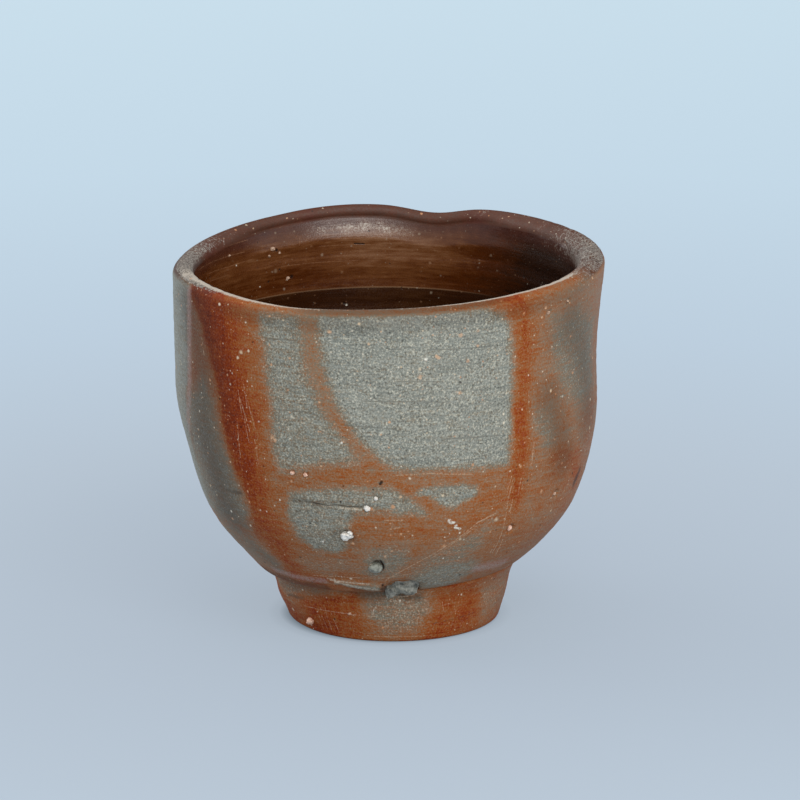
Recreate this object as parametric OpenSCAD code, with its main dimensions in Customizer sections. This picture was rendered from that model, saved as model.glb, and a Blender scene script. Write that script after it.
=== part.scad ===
// Wood-fired sake cup: a thrown bowl luted onto a turned foot ring, with the stones that
// the coarse clay holds. Millimetres, +Z up, the table at Z = 0, the photographed front facing -Y.
// Directions are degrees round the axis: 0 is the right side, 90 the back, 270 the front.

/* [Foot ring] */
// Height of the foot ring at the cup's axis
foot_h = 9.1; // [6:0.05:13]
// Outer radius where the foot stands on the table
foot_base_r = 16.7; // [13.5:0.05:20]
// Outer radius where the foot meets the bowl
foot_top_r = 18.8; // [15:0.05:22]
// Inner radius of the ring at the table
foot_bore_r = 13; // [9:0.05:14.5]
// How much the ring's inside narrows towards the bowl
foot_bore_draft = 0.7; // [0:0.05:2]
// Roundness of the foot's outside, 1 for a straight taper
foot_swell = 1.7; // [1:0.05:3]
// Rounding of the two edges that the foot stands on
foot_edge_r = 0.6; // [0.2:0.05:1]
// Slope of the joint between foot and bowl, rising to the right
joint_tilt = 2.3; // [0:0.1:4]

/* [Bowl outside] */
// Height of the bowl above the foot ring
bowl_h = 49.35; // [41:0.05:60]
// Radius of the bowl's lower edge, which overhangs the foot
base_r = 20.6; // [19:0.05:22]
// Rounding of the bowl's lower edge
edge_round = 1.2; // [0.4:0.05:1.6]
// Height of the lower flank above the foot
flank_h = 2.9; // [2:0.05:4.5]
// Radius at the lower flank
flank_r = 23.6; // [22:0.05:25]
// Height of the upper flank above the foot
belly_h = 9.9; // [7.6:0.05:12.6]
// Radius at the upper flank
belly_r = 29; // [27:0.05:31]
// Height of the swell above the foot
swell_h = 20.9; // [16.6:0.05:24.6]
// Radius at the swell
swell_r = 32.4; // [30:0.05:35]
// Height of the upright wall above the foot
side_h = 32.9; // [28.6:0.05:36.6]
// Radius of the upright wall
side_r = 33.75; // [32:0.05:36]
// Radius under the lip
lip_r = 34.1; // [32:0.05:37]
// How far a hand has pressed the wall in below the lip
squeeze_depth = 1.4; // [0:0.05:2.5]
// Height of the pressed place above the foot
squeeze_h = 35.8; // [28.6:0.1:40.6]
// Reach of the pressed place up and down the wall
squeeze_span = 10.5; // [6:0.1:14]
// Direction of the pressed place
squeeze_dir = 0; // [0:1:359]

/* [Lip] */
// Thickness of the wall at the lip
lip_t = 3.7; // [2.8:0.05:5]
// How much thicker the lip is on its thick side
lip_swing = 0.5; // [0:0.05:0.8]
// Height of the rounded top of the lip
lip_round = 1.7; // [0.8:0.05:2.5]
// Rise of the lip towards its high side
lip_tilt = 0.62; // [0:0.02:1.5]
// Direction of the lip's high and thick side
lip_tilt_dir = 10; // [0:1:359]
// Depth of the thumb-wide dip in the back of the lip
back_dip = 1.2; // [0:0.05:2]
// Direction of that dip
back_dip_dir = 77; // [0:1:359]
// Half width of that dip, in degrees
back_dip_span = 10; // [6:1:30]
// Height of the crest beside that dip
back_crest = 0.45; // [0:0.05:1.5]
// Direction of that crest
back_crest_dir = 106; // [0:1:359]
// Half width of that crest, in degrees
back_crest_span = 16; // [6:1:40]
// Depth of the worn dip in the left of the lip
left_dip = 0.85; // [0:0.05:1.5]
// Direction of that worn dip
left_dip_dir = 165; // [0:1:359]
// Half width of that worn dip, in degrees
left_dip_span = 28; // [6:1:60]
// Depth of the shallow dip in the front of the lip
front_dip = 0.4; // [0:0.05:1.5]
// Direction of that shallow dip
front_dip_dir = 236; // [0:1:359]
// Half width of that shallow dip, in degrees
front_dip_span = 25; // [6:1:60]

/* [Bowl inside] */
// Thickness of the bowl's floor above the joint
floor_t = 4; // [3:0.1:8]
// Fullness of the inside curve, higher for a rounder corner at the floor
inside_fullness = 6; // [3:0.1:9]
// Height of the spiral ridge that the fingers left inside
throw_ring_h = 0.3; // [0:0.05:0.6]
// Climb of that ridge for each turn
throw_ring_pitch = 4.6; // [3.5:0.1:8]
// How far the base bulges down inside the foot ring
dome_h = 2.2; // [0:0.1:4]

/* [Stones in the wall] */
// Clearance between each stone and its pocket
seat_gap = 0.04; // [0.02:0.01:0.1]
// How far the clay has burst open beyond each stone
burst_w = 0.35; // [0.1:0.05:0.8]
// Depth of the burst edge
burst_depth = 0.45; // [0.2:0.05:0.9]
// Share of each stone's diameter that lies below the surface
buried = 0.68; // [0.55:0.01:0.8]
// Size of the large white stone
large_white_d = 2.7; // [1.6:0.1:3.6]
// Direction of the large white stone
large_white_dir = 257.2; // [250:0.1:262]
// Height of the large white stone above the foot
large_white_h = 11.7; // [8.6:0.1:14.6]
// Size of the small white stone
small_white_d = 1.7; // [1:0.1:2.4]
// Direction of the small white stone
small_white_dir = 263.5; // [262.4:0.1:264.4]
// Height of the small white stone above the foot
small_white_h = 16.8; // [15.6:0.1:17.2]
// Size of the white chip
white_chip_d = 1.1; // [0.8:0.1:1.6]
// Direction of the white chip
white_chip_dir = 266.1; // [265.6:0.1:269]
// Height of the white chip above the foot
white_chip_h = 18.6; // [18.4:0.1:20.6]
// Size of the two pink stones
pink_pair_d = 1.3; // [0.8:0.1:1.7]
// Direction half-way between the two pink stones
pink_pair_dir = 244.4; // [238:0.1:250]
// Distance between the two pink stones
pink_pair_gap = 2.3; // [2:0.1:4]
// Height of the two pink stones above the foot
pink_pair_h = 21.8; // [20.2:0.1:24.6]
// Size of the grey pebble
grey_pebble_d = 2.8; // [1.8:0.1:3.4]
// Direction of the grey pebble
grey_pebble_dir = 265.2; // [258:0.1:268]
// Height of the grey pebble above the foot
grey_pebble_h = 5.5; // [5.1:0.1:7.1]
// Size of the stone in the right-hand slit
side_stone_d = 1.3; // [0.8:0.1:2]
// Direction of the stone in the right-hand slit
side_stone_dir = 309.2; // [300:0.1:320]
// Height of the stone in the right-hand slit above the foot
side_stone_h = 11.3; // [7.6:0.1:14.6]
// Size of the grit by the lip
rim_grit_d = 0.9; // [0.7:0.1:1.2]
// Drop of the upper grain by the lip, measured from the lip's top
rim_grit_drop = 3; // [2.8:0.1:5]
// How much lower the other grain by the lip lies
rim_grit_step = 0.9; // [0:0.1:2]
// Size of the grain in the slit on the right
slit_grain_d = 0.9; // [0.7:0.1:1.2]
// Size of the grit inside the bowl
inside_grit_d = 1.1; // [0.8:0.1:1.4]
// Height of the first grain inside the bowl above the foot
inside_grit_1_h = 44.2; // [43.4:0.1:44.6]
// Height of the second grain inside the bowl above the foot
inside_grit_2_h = 42.2; // [41.6:0.1:43]
// Height of the third grain inside the bowl above the foot
inside_grit_3_h = 41; // [40.2:0.1:41.6]
// Height of the fourth grain inside the bowl above the foot
inside_grit_4_h = 38.2; // [34.6:0.1:39.6]
// Height of the fifth grain inside the bowl above the foot
inside_grit_5_h = 44.6; // [38.6:0.1:44.6]

/* [Cracks and pits] */
// Length of the crack on the front
crack_l = 9.6; // [4:0.1:10]
// Width of the crack at the surface
crack_w = 0.5; // [0.2:0.05:0.8]
// Depth of the crack at its middle
crack_depth = 0.6; // [0.45:0.05:1]
// Direction of the crack's middle
crack_dir = 253.3; // [252:0.1:254]
// Height of the crack above the foot
crack_h = 17.2; // [16.2:0.1:17.4]
// Length of the slit on the right
slit_l = 1.8; // [1.2:0.1:3]
// Width of the slit at the surface
slit_w = 0.7; // [0.4:0.05:1]
// Depth of the slit
slit_depth = 0.6; // [0.3:0.05:1]
// Direction of the slit
slit_dir = 326.2; // [320:0.1:335]
// Height of the slit above the foot
slit_h = 15.2; // [11.6:0.1:18.6]
// Slope of the slit, rising to the right
slit_turn = 28; // [0:1:60]
// Width of the hole beside the broken stone
joint_hole_d = 1; // [0.6:0.1:1.4]
// Depth of the hole beside the broken stone
joint_hole_depth = 1; // [0.5:0.1:1.5]
// Direction of the hole beside the broken stone
joint_hole_dir = 267.3; // [262:0.1:268]
// Height of the hole beside the broken stone above the foot
joint_hole_h = 2; // [1.4:0.1:2.6]
// Width of the burnt-out pits
pit_d = 0.7; // [0.4:0.05:0.9]
// Depth of the burnt-out pits
pit_depth = 0.5; // [0.2:0.05:0.8]
// Height of the upper pit above the foot
pit_1_h = 21.4; // [20.6:0.1:24.6]
// Height of the middle pit above the foot
pit_2_h = 20.2; // [20.1:0.1:20.6]
// Height of the lower pit above the foot
pit_3_h = 18.1; // [18:0.1:19.6]

/* [Stones in the foot] */
// Length of the broken stone in the joint
joint_stone_l = 5.4; // [4:0.1:6.5]
// Thickness of the broken stone in the joint
joint_stone_t = 2.4; // [1.4:0.1:2.8]
// Depth of the broken stone in the joint
joint_stone_w = 3.2; // [2.4:0.1:4]
// Direction of the broken stone in the joint
joint_stone_dir = 275.5; // [270:0.1:282]
// Size of the stone at the foot's edge
foot_stone_d = 1.9; // [1.2:0.1:2.4]
// Direction of the stone at the foot's edge
foot_stone_dir = 222.6; // [215:0.1:230]
// Height of the stone at the foot's edge above the table
foot_stone_h = 1.9; // [1.8:0.1:4]
// Size of the grit in the foot
foot_grit_d = 0.9; // [0.7:0.1:1.2]
// Height of the first grain in the foot above the table
foot_grit_1_h = 4.7; // [2:0.1:6]
// Height of the second grain in the foot above the table
foot_grit_2_h = 4.9; // [2:0.1:5.2]
// Height of the third grain in the foot above the table
foot_grit_3_h = 5.6; // [5:0.1:6]
// Height of the fourth grain in the foot above the table
foot_grit_4_h = 4.2; // [2:0.1:6]

/* [Hidden] */
$fn = 72;

// Steps of the bowl's surface: round the axis, over the lower edge, up the outside, over the lip, down inside
round_steps = 72;
edge_rows = 3;
outer_steps = 23;
lip_steps = 8;
inner_steps = 38;
dome_steps = 3;

// Heights and radii that the outside passes through
wall_knots = [[0, base_r], [flank_h, flank_r], [belly_h, belly_r], [swell_h, swell_r], [side_h, side_r],
              [bowl_h, lip_r]];
last_knot = len(wall_knots) - 1;

// Cubic curve through the knots, with its slope at each knot taken from the two neighbours
function knot_step(i) = wall_knots[i + 1][0] - wall_knots[i][0];
function knot_grade(i) = (wall_knots[i + 1][1] - wall_knots[i][1]) / knot_step(i);
function knot_slope(i) =
    i == 0 ? knot_grade(0) :
    i == last_knot ? knot_grade(last_knot - 1) :
    (knot_grade(i - 1) * knot_step(i) + knot_grade(i) * knot_step(i - 1)) / (knot_step(i) + knot_step(i - 1));
function span_of(h, i = 0) = i == last_knot - 1 || h < wall_knots[i + 1][0] ? i : span_of(h, i + 1);
function blend(p, q, mp, mq, t) =
    (2 * t ^ 3 - 3 * t ^ 2 + 1) * p + (t ^ 3 - 2 * t ^ 2 + t) * mp
    + (3 * t ^ 2 - 2 * t ^ 3) * q + (t ^ 3 - t ^ 2) * mq;
function span_r(h, i) =
    blend(wall_knots[i][1], wall_knots[i + 1][1],
          knot_slope(i) * knot_step(i), knot_slope(i + 1) * knot_step(i),
          (h - wall_knots[i][0]) / knot_step(i));
function plain_r(h) =
    h <= 0 ? base_r + knot_slope(0) * h :
    h >= bowl_h ? lip_r + knot_slope(last_knot) * (h - bowl_h) :
    span_r(h, span_of(h));

// A bump of height 1 that fades out over its span
function bump(x, span) = exp(-(x / span) ^ 2);
function turn_between(a, b) = (a - b + 540) % 360 - 180;
function pressed(h, a) =
    squeeze_depth * bump(h - squeeze_h, squeeze_span) * ((1 + cos(a - squeeze_dir)) / 2) ^ 2;

// Height above the foot of the tilted joint at a radius, and of the bowl's lower edge
joint_rise = tan(joint_tilt);
function joint_h(r, a) = r * cos(a) * joint_rise;
function edge_h(a) = joint_h(base_r, a);

// Outside radius at a height above the foot, and the slope of the wall there. The lower flank
// was turned together with the foot, so it leans with the joint and comes level at the upper flank.
function level_h(h, a) = h - edge_h(a) * max(0, 1 - (h - edge_h(a)) / belly_h);
function wall_r(h, a) = plain_r(level_h(h, a)) - pressed(h, a);
slope_step = 0.2;
function wall_lean(h, a) = atan((wall_r(h + slope_step, a) - wall_r(h - slope_step, a)) / (2 * slope_step));

// Height above the foot of the wavy lip
function lip_h(a) =
    bowl_h + lip_tilt * cos(a - lip_tilt_dir)
    - back_dip * bump(turn_between(a, back_dip_dir), back_dip_span)
    + back_crest * bump(turn_between(a, back_crest_dir), back_crest_span)
    - left_dip * bump(turn_between(a, left_dip_dir), left_dip_span)
    - front_dip * bump(turn_between(a, front_dip_dir), front_dip_span);
function lip_wall(a) = lip_t + lip_swing * cos(a - lip_tilt_dir);
function spring_h(a) = lip_h(a) - lip_round;

// Inside radius at a share of the depth, 0 on the floor and 1 where the lip's curve starts. The
// inside keeps the lip's thickness from the outside, and thickens where it rounds into the floor.
function depth_h(v, a) = floor_t + v * (spring_h(a) - floor_t);
function fingers(v, h, a) =
    throw_ring_h * (0.5 - 0.5 * cos(360 * h / throw_ring_pitch - a)) * 4 * v * (1 - v);
function inside_r(v, a) =
    let (h = depth_h(v, a))
    (wall_r(h, a) - lip_wall(a)) * sqrt(1 - (1 - v) ^ inside_fullness) - fingers(v, h, a);
inside_ease = 1.5;
function inside_share(k) = (1 - k / inner_steps) ^ inside_ease;

// One section of the bowl in direction a, as radius and height above the foot, from the
// underside's middle round the outside and the lip to the floor's middle
dome_r = foot_bore_r - foot_bore_draft;
function dome_share(k) = k / dome_steps;
function underside(a) = [for (k = [1:dome_steps])
    let (r = dome_r * dome_share(k))
    [r, r * cos(a) * joint_rise - dome_h * (1 - dome_share(k) ^ 2)]];
seat_r = base_r - edge_round;
function lower_edge(a) = concat(
    [[seat_r, joint_h(seat_r, a)]],
    [for (k = [1:edge_rows])
        let (w = 90 * k / edge_rows, h = edge_h(a) + edge_round * (1 - cos(w)))
        [wall_r(h, a) - edge_round * (1 - sin(w)), h]]);
function outside(a) = [for (k = [1:outer_steps])
    let (low = edge_h(a) + edge_round, h = low + (spring_h(a) - low) * k / outer_steps)
    [wall_r(h, a), h]];
function lip_curve(a) = [for (k = [1:lip_steps])
    let (r = wall_r(spring_h(a), a) - lip_wall(a) / 2, w = 180 * k / lip_steps)
    [r + lip_wall(a) / 2 * cos(w), spring_h(a) + lip_round * sin(w)]];
function inside(a) = [for (k = [1:inner_steps - 1])
    let (v = inside_share(k))
    [inside_r(v, a), depth_h(v, a)]];
function section(a) = concat(underside(a), lower_edge(a), outside(a), lip_curve(a), inside(a));

rows = dome_steps + edge_rows + 1 + outer_steps + lip_steps + inner_steps - 1;
function at(k, j) = (k % round_steps) * rows + j;
base_pole = round_steps * rows;
floor_pole = base_pole + 1;
bowl_points = concat(
    [for (k = [0:round_steps - 1])
        let (a = 360 * k / round_steps)
        for (p = section(a)) [p[0] * cos(a), p[0] * sin(a), foot_h + p[1]]],
    [[0, 0, foot_h - dome_h], [0, 0, foot_h + floor_t]]);
bowl_faces = concat(
    [for (k = [0:round_steps - 1]) for (j = [0:rows - 2]) [at(k, j), at(k, j + 1), at(k + 1, j + 1)]],
    [for (k = [0:round_steps - 1]) for (j = [0:rows - 2]) [at(k, j), at(k + 1, j + 1), at(k + 1, j)]],
    [for (k = [0:round_steps - 1]) [base_pole, at(k, 0), at(k + 1, 0)]],
    [for (k = [0:round_steps - 1]) [at(k, rows - 1), floor_pole, at(k + 1, rows - 1)]]);

// Outside radius of the foot at a height above the table
function foot_r(z) = foot_base_r + (foot_top_r - foot_base_r) * (1 - (1 - min(z / foot_h, 1)) ^ foot_swell);
function foot_lean(z) = atan((foot_r(z + slope_step) - foot_r(z - slope_step)) / (2 * slope_step));

// Grit and pits are written as one row each: direction, then height
inside_grit_rows = [[128, inside_grit_1_h], [124, inside_grit_2_h], [130, inside_grit_3_h],
                    [122.5, inside_grit_4_h], [146.5, inside_grit_5_h]];
rim_grit_rows = [[317, rim_grit_drop + rim_grit_step], [325, rim_grit_drop]];
foot_grit_rows = [[249.6, foot_grit_1_h], [283.6, foot_grit_2_h], [288.4, foot_grit_3_h],
                  [328.6, foot_grit_4_h]];
pit_rows = [[267.6, pit_1_h], [265.4, pit_2_h], [256.2, pit_3_h]];

// A broken grain: a block with its corners worn round
flat_share = 0.66;
module grain(d, turn) {
    rotate([turn, 2 * turn, 0])
        intersection() {
            sphere(d = d);
            cube(flat_share * d, center = true);
        }
}

// The hollow that a grain sits in: its own form with the clearance, opening out at the surface
module pocket(d, turn) {
    grain(d + 2 * seat_gap, turn);
    translate([0, 0, (buried - 0.5) * d - burst_depth])
        cylinder(h = 2 * burst_depth, d1 = d - burst_w, d2 = d + 3 * burst_w);
}

// A cut that opens from a sharp bottom to its width at the surface and on beyond it
module groove(l, w, depth) {
    rotate([90, 0, 0])
        linear_extrude(l, center = true)
            polygon([[0, -depth], [w, depth], [-w, depth]]);
}

// A round pit that narrows from its width at the surface
module pit(d, depth) {
    translate([0, 0, -depth])
        cylinder(h = 2 * depth, d1 = d / 4, d2 = 2 * d - d / 4);
}

// Places what follows on a surface, with its own +Z along the outward normal, and sinks it
module on_wall(a, h, d = 0) {
    rotate([0, 0, a])
        translate([wall_r(h, a), 0, foot_h + h])
            rotate([0, 90 + wall_lean(h, a), 0])
                translate([0, 0, (0.5 - buried) * d])
                    children();
}
module on_inside(a, h, d) {
    v = (h - floor_t) / (spring_h(a) - floor_t);
    rotate([0, 0, a])
        translate([inside_r(v, a), 0, foot_h + h])
            rotate([0, -90, 0])
                translate([0, 0, (0.5 - buried) * d])
                    children();
}
module on_foot(a, z, d) {
    rotate([0, 0, a])
        translate([foot_r(z), 0, z])
            rotate([0, 90 + foot_lean(z), 0])
                translate([0, 0, (0.5 - buried) * d])
                    children();
}
module on_joint(a) {
    translate([0, 0, foot_h])
        rotate([0, -joint_tilt, 0])
            rotate([0, 0, a])
                translate([seat_r, 0, 0])
                    children();
}

// The turn of each stone, so that no two show the same face
large_white_turn = 35;
small_white_turn = 20;
white_chip_turn = 50;
pink_turn = 28;
grey_turn = 15;
side_turn = 40;
slit_grain_turn = 45;
foot_turn = 25;
grit_turn = 33;
pink_swing = asin(pink_pair_gap / 2 / wall_r(pink_pair_h, pink_pair_dir));
pink_dirs = [pink_pair_dir - pink_swing, pink_pair_dir + pink_swing];

// The broken stone lies on the foot's top with its long side along the joint, and leans out with the wall
joint_stone_out = 0.3;
joint_ball_share = 1.55;
shard_knee = edge_round / 2;
function shard_lean(h) = edge_round + knot_slope(0) * h;
module shard(gap) {
    face = joint_stone_out + gap;
    back = joint_stone_out - joint_stone_w - gap;
    intersection() {
        rotate([90, 0, 0])
            linear_extrude(joint_stone_l + 2 * gap, center = true)
                polygon([[back, -gap], [face, -gap], [face + shard_lean(shard_knee), shard_knee],
                         [face + shard_lean(joint_stone_t), joint_stone_t + gap],
                         [back + shard_lean(joint_stone_t), joint_stone_t + gap]]);
        translate([joint_stone_out + (shard_lean(joint_stone_t) - joint_stone_w) / 2, 0, joint_stone_t / 2])
            sphere(d = joint_ball_share * joint_stone_l + 2 * gap);
    }
}

module bowl() {
    color([0.45, 0.42, 0.37])
    difference() {
        polyhedron(points = bowl_points, faces = bowl_faces, convexity = 6);
        on_joint(joint_stone_dir)
            shard(seat_gap);
        on_wall(large_white_dir, large_white_h, large_white_d)
            pocket(large_white_d, large_white_turn);
        on_wall(small_white_dir, small_white_h, small_white_d)
            pocket(small_white_d, small_white_turn);
        on_wall(white_chip_dir, white_chip_h, white_chip_d)
            pocket(white_chip_d, white_chip_turn);
        for (a = pink_dirs)
            on_wall(a, pink_pair_h, pink_pair_d)
                pocket(pink_pair_d, pink_turn);
        on_wall(grey_pebble_dir, grey_pebble_h, grey_pebble_d)
            pocket(grey_pebble_d, grey_turn);
        on_wall(side_stone_dir, side_stone_h, side_stone_d)
            pocket(side_stone_d, side_turn);
        on_wall(slit_dir, slit_h, slit_grain_d)
            pocket(slit_grain_d, slit_grain_turn);
        on_wall(slit_dir, slit_h)
            rotate([0, 0, slit_turn])
                groove(slit_l, slit_w, slit_depth);
        on_wall(crack_dir, crack_h)
            groove(crack_l, crack_w, crack_depth);
        on_wall(joint_hole_dir, joint_hole_h)
            pit(joint_hole_d, joint_hole_depth);
        for (p = pit_rows)
            on_wall(p[0], p[1])
                pit(pit_d, pit_depth);
        for (g = rim_grit_rows)
            on_wall(g[0], lip_h(g[0]) - g[1], rim_grit_d)
                pocket(rim_grit_d, grit_turn);
        for (g = inside_grit_rows)
            on_inside(g[0], g[1], inside_grit_d)
                pocket(inside_grit_d, grit_turn);
    }
}

// Section of the ring: the resting face between two rounded edges, the swelling outside, the drafted bore
edge_steps = 5;
side_steps = 8;
function edge_arc(cx, from, to) = [for (k = [0:edge_steps])
    let (w = from + (to - from) * k / edge_steps)
    [cx + foot_edge_r * cos(w), foot_edge_r + foot_edge_r * sin(w)]];
foot_blank_h = foot_h + foot_top_r * joint_rise + 1;
function foot_side(k) = let (z = foot_edge_r + (foot_h - foot_edge_r) * k / side_steps) [foot_r(z), z];
foot_section = concat(
    edge_arc(foot_bore_r + foot_edge_r, 180, 270),
    edge_arc(foot_r(foot_edge_r) - foot_edge_r, 270, 360),
    [for (k = [1:side_steps]) foot_side(k)],
    [[foot_top_r, foot_blank_h], [dome_r, foot_blank_h], [dome_r, foot_h]]);

module foot_ring() {
    color([0.5, 0.3, 0.2])
    difference() {
        rotate_extrude()
            polygon(foot_section);
        translate([0, 0, foot_h])
            rotate([0, -joint_tilt, 0])
                translate([-2 * foot_top_r, -2 * foot_top_r, 0])
                    cube([4 * foot_top_r, 4 * foot_top_r, foot_blank_h]);
        on_foot(foot_stone_dir, foot_stone_h, foot_stone_d)
            pocket(foot_stone_d, foot_turn);
        for (g = foot_grit_rows)
            on_foot(g[0], g[1], foot_grit_d)
                pocket(foot_grit_d, grit_turn);
    }
}

module joint_stone() {
    color([0.5, 0.55, 0.56])
    on_joint(joint_stone_dir)
        shard(0);
}

module large_white_stone() {
    color([0.9, 0.88, 0.85])
    on_wall(large_white_dir, large_white_h, large_white_d)
        grain(large_white_d, large_white_turn);
}

module small_white_stone() {
    color([0.9, 0.88, 0.85])
    on_wall(small_white_dir, small_white_h, small_white_d)
        grain(small_white_d, small_white_turn);
}

module white_chip() {
    color([0.9, 0.88, 0.85])
    on_wall(white_chip_dir, white_chip_h, white_chip_d)
        grain(white_chip_d, white_chip_turn);
}

module pink_stones() {
    color([0.85, 0.62, 0.5])
    for (a = pink_dirs)
        on_wall(a, pink_pair_h, pink_pair_d)
            grain(pink_pair_d, pink_turn);
}

module grey_pebble() {
    color([0.5, 0.5, 0.47])
    on_wall(grey_pebble_dir, grey_pebble_h, grey_pebble_d)
        grain(grey_pebble_d, grey_turn);
}

module side_stone() {
    color([0.85, 0.62, 0.5])
    on_wall(side_stone_dir, side_stone_h, side_stone_d)
        grain(side_stone_d, side_turn);
}

module slit_grain() {
    color([0.88, 0.74, 0.66])
    on_wall(slit_dir, slit_h, slit_grain_d)
        grain(slit_grain_d, slit_grain_turn);
}

module foot_stone() {
    color([0.9, 0.8, 0.76])
    on_foot(foot_stone_dir, foot_stone_h, foot_stone_d)
        grain(foot_stone_d, foot_turn);
}

module rim_grit() {
    color([0.8, 0.7, 0.6])
    for (g = rim_grit_rows)
        on_wall(g[0], lip_h(g[0]) - g[1], rim_grit_d)
            grain(rim_grit_d, grit_turn);
}

module inside_grit() {
    color([0.8, 0.7, 0.6])
    for (g = inside_grit_rows)
        on_inside(g[0], g[1], inside_grit_d)
            grain(inside_grit_d, grit_turn);
}

module foot_grit() {
    color([0.8, 0.7, 0.6])
    for (g = foot_grit_rows)
        on_foot(g[0], g[1], foot_grit_d)
            grain(foot_grit_d, grit_turn);
}

bowl();
foot_ring();
joint_stone();
large_white_stone();
small_white_stone();
white_chip();
pink_stones();
grey_pebble();
side_stone();
slit_grain();
foot_stone();
rim_grit();
inside_grit();
foot_grit();
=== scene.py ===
# %% [markdown]
# # A wood-fired sake cup
# The cup is a thrown bowl on a turned foot ring, in coarse clay that was fired for days beside burning
# wood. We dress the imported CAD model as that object. This first cell loads the CAD model as a fixed
# frame: every piece we make later goes to the place that the frame already gives it.

# %% Load the frame
import bpy
import math
import numpy as np
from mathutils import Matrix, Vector


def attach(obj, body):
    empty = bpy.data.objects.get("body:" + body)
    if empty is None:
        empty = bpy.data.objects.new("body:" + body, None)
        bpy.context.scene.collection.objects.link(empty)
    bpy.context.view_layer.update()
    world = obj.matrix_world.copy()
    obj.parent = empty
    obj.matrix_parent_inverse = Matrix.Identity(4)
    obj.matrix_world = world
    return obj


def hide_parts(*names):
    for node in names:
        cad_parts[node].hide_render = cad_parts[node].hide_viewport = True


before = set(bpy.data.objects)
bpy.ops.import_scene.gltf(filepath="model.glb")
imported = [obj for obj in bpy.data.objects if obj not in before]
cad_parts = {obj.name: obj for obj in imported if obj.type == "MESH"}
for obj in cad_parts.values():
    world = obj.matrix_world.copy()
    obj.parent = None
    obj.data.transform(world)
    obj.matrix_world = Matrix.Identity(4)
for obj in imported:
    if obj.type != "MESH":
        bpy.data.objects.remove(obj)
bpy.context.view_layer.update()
scene = bpy.context.scene
MM = 0.001
print("CAD nodes:", sorted(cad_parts))

# %% [markdown]
# ## The camera
# The photo was taken from well away with a long lens: both ends of the lip look alike and upright lines
# hardly converge. A 360 mm lens on a 36 mm sensor gives that calm look. The camera stands 15.2 degrees
# above the table and points at the cup's axis, a little above half its height.

# %% Place the camera
VIEW_TILT = math.radians(15.2)
AIM = Vector((1.58, 0, 34.8)) * MM
CAMERA_DISTANCE = 1.262
eye = bpy.data.cameras.new("long_lens")
eye.lens = 360
eye.sensor_width = 36
eye.clip_start = 0.05
eye.clip_end = 20
camera = bpy.data.objects.new("camera", eye)
back_off = Vector((0, -math.cos(VIEW_TILT), math.sin(VIEW_TILT)))
camera.location = AIM + back_off * CAMERA_DISTANCE
camera.rotation_euler = (-back_off).to_track_quat("-Z", "Y").to_euler()
scene.collection.objects.link(camera)
scene.camera = camera
print("camera at", [round(c, 3) for c in camera.location])

# %% [markdown]
# ## First helpers for finishes
# A finish in Blender is a tree of nodes joined by links. Made one by one they fill pages, so small helpers
# start a finish, add one node with all its inputs, and turn a number into a colour. Colours are written
# as screen values from 0 to 255, because those are easy to judge by eye, and turned into the linear
# values that the renderer works with.

# %% Make the first helpers
def linear(r, g, b):
    """A colour written as 0 to 255 screen values, turned into the linear values that shaders use."""
    shares = [c / 255 for c in (r, g, b)]
    curve = [((c + 0.055) / 1.055) ** 2.4 if c > 0.04 else c / 12.92 for c in shares]
    return (*curve, 1.0)


def new_finish(name):
    """A new material with an empty node tree, its Principled shader and its output."""
    finish = bpy.data.materials.new(name)
    finish.use_nodes = True
    tree = finish.node_tree
    tree.nodes.clear()
    out = tree.nodes.new("ShaderNodeOutputMaterial")
    shader = tree.nodes.new("ShaderNodeBsdfPrincipled")
    tree.links.new(shader.outputs["BSDF"], out.inputs["Surface"])
    return finish, tree, shader


def wire(tree, kind, inputs=(), **settings):
    """A new shader node, with its settings and with inputs as (name or number, value or socket)."""
    made = tree.nodes.new("ShaderNode" + kind)
    for key, value in settings.items():
        setattr(made, key, value)
    for key, value in inputs:
        if isinstance(value, bpy.types.NodeSocket):
            tree.links.new(value, made.inputs[key])
        else:
            made.inputs[key].default_value = value
    return made


def ramp(tree, value, stops):
    """A colour for a number, from stops of (number, screen colour) with numbers from 0 to the last one."""
    top = stops[-1][0]
    scaled = wire(tree, "Math", [(0, value), (1, top)], operation="DIVIDE").outputs[0]
    made = wire(tree, "ValToRGB", [("Fac", scaled)])
    marks = made.color_ramp.elements
    while len(marks) < len(stops):
        marks.new(0.5)
    for mark, (at, colour) in zip(marks, stops):
        mark.position, mark.color = at / top, linear(*colour)
    return made.outputs["Color"]


print("first helpers ready")

# %% [markdown]
# ## The table and the light
# The cup stands on a smooth pale blue-grey table in soft daylight. The table gets lighter with distance,
# and that gradient runs round the cup, so that it looks the same from every side. A table that only
# reflects light would show a heavy shadow. The real one is so evenly lit that the shadow is faint, so the
# camera sees a mix of the lit table and its plain colour.

# %% Lay the table
scene.view_settings.view_transform = "Standard"
REACH = 6.0
PLAIN_SHARE = 0.8
# The dark first stops and the sharp step to the third paint a contact shadow round the foot.
table_shades = [  # metres from the cup's axis, and the colour there; the first two lie under the foot
    (0.0, (120, 132, 142)), (0.0163, (120, 132, 142)), (0.0178, (178, 191, 204)), (0.04, (181, 194, 208)),
    (0.1, (186, 200, 214)), (0.18, (191, 209, 225)), (0.3, (199, 220, 235)), (0.5, (206, 228, 241))]
table_corners = [(-REACH, -REACH, 0), (REACH, -REACH, 0), (REACH, REACH, 0), (-REACH, REACH, 0)]
table_mesh = bpy.data.meshes.new("table")
table_mesh.from_pydata(table_corners, [], [(0, 1, 2, 3)])
table = bpy.data.objects.new("table", table_mesh)
scene.collection.objects.link(table)
table_finish, tree, shader = new_finish("pale_table")
where = wire(tree, "TexCoord").outputs["Object"]
far = wire(tree, "VectorMath", [(0, where)], operation="LENGTH").outputs["Value"]
shades = ramp(tree, far, table_shades)
tree.links.new(shades, shader.inputs["Base Color"])
shader.inputs["Roughness"].default_value = 0.6
shader.inputs["Specular IOR Level"].default_value = 0.1
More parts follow.
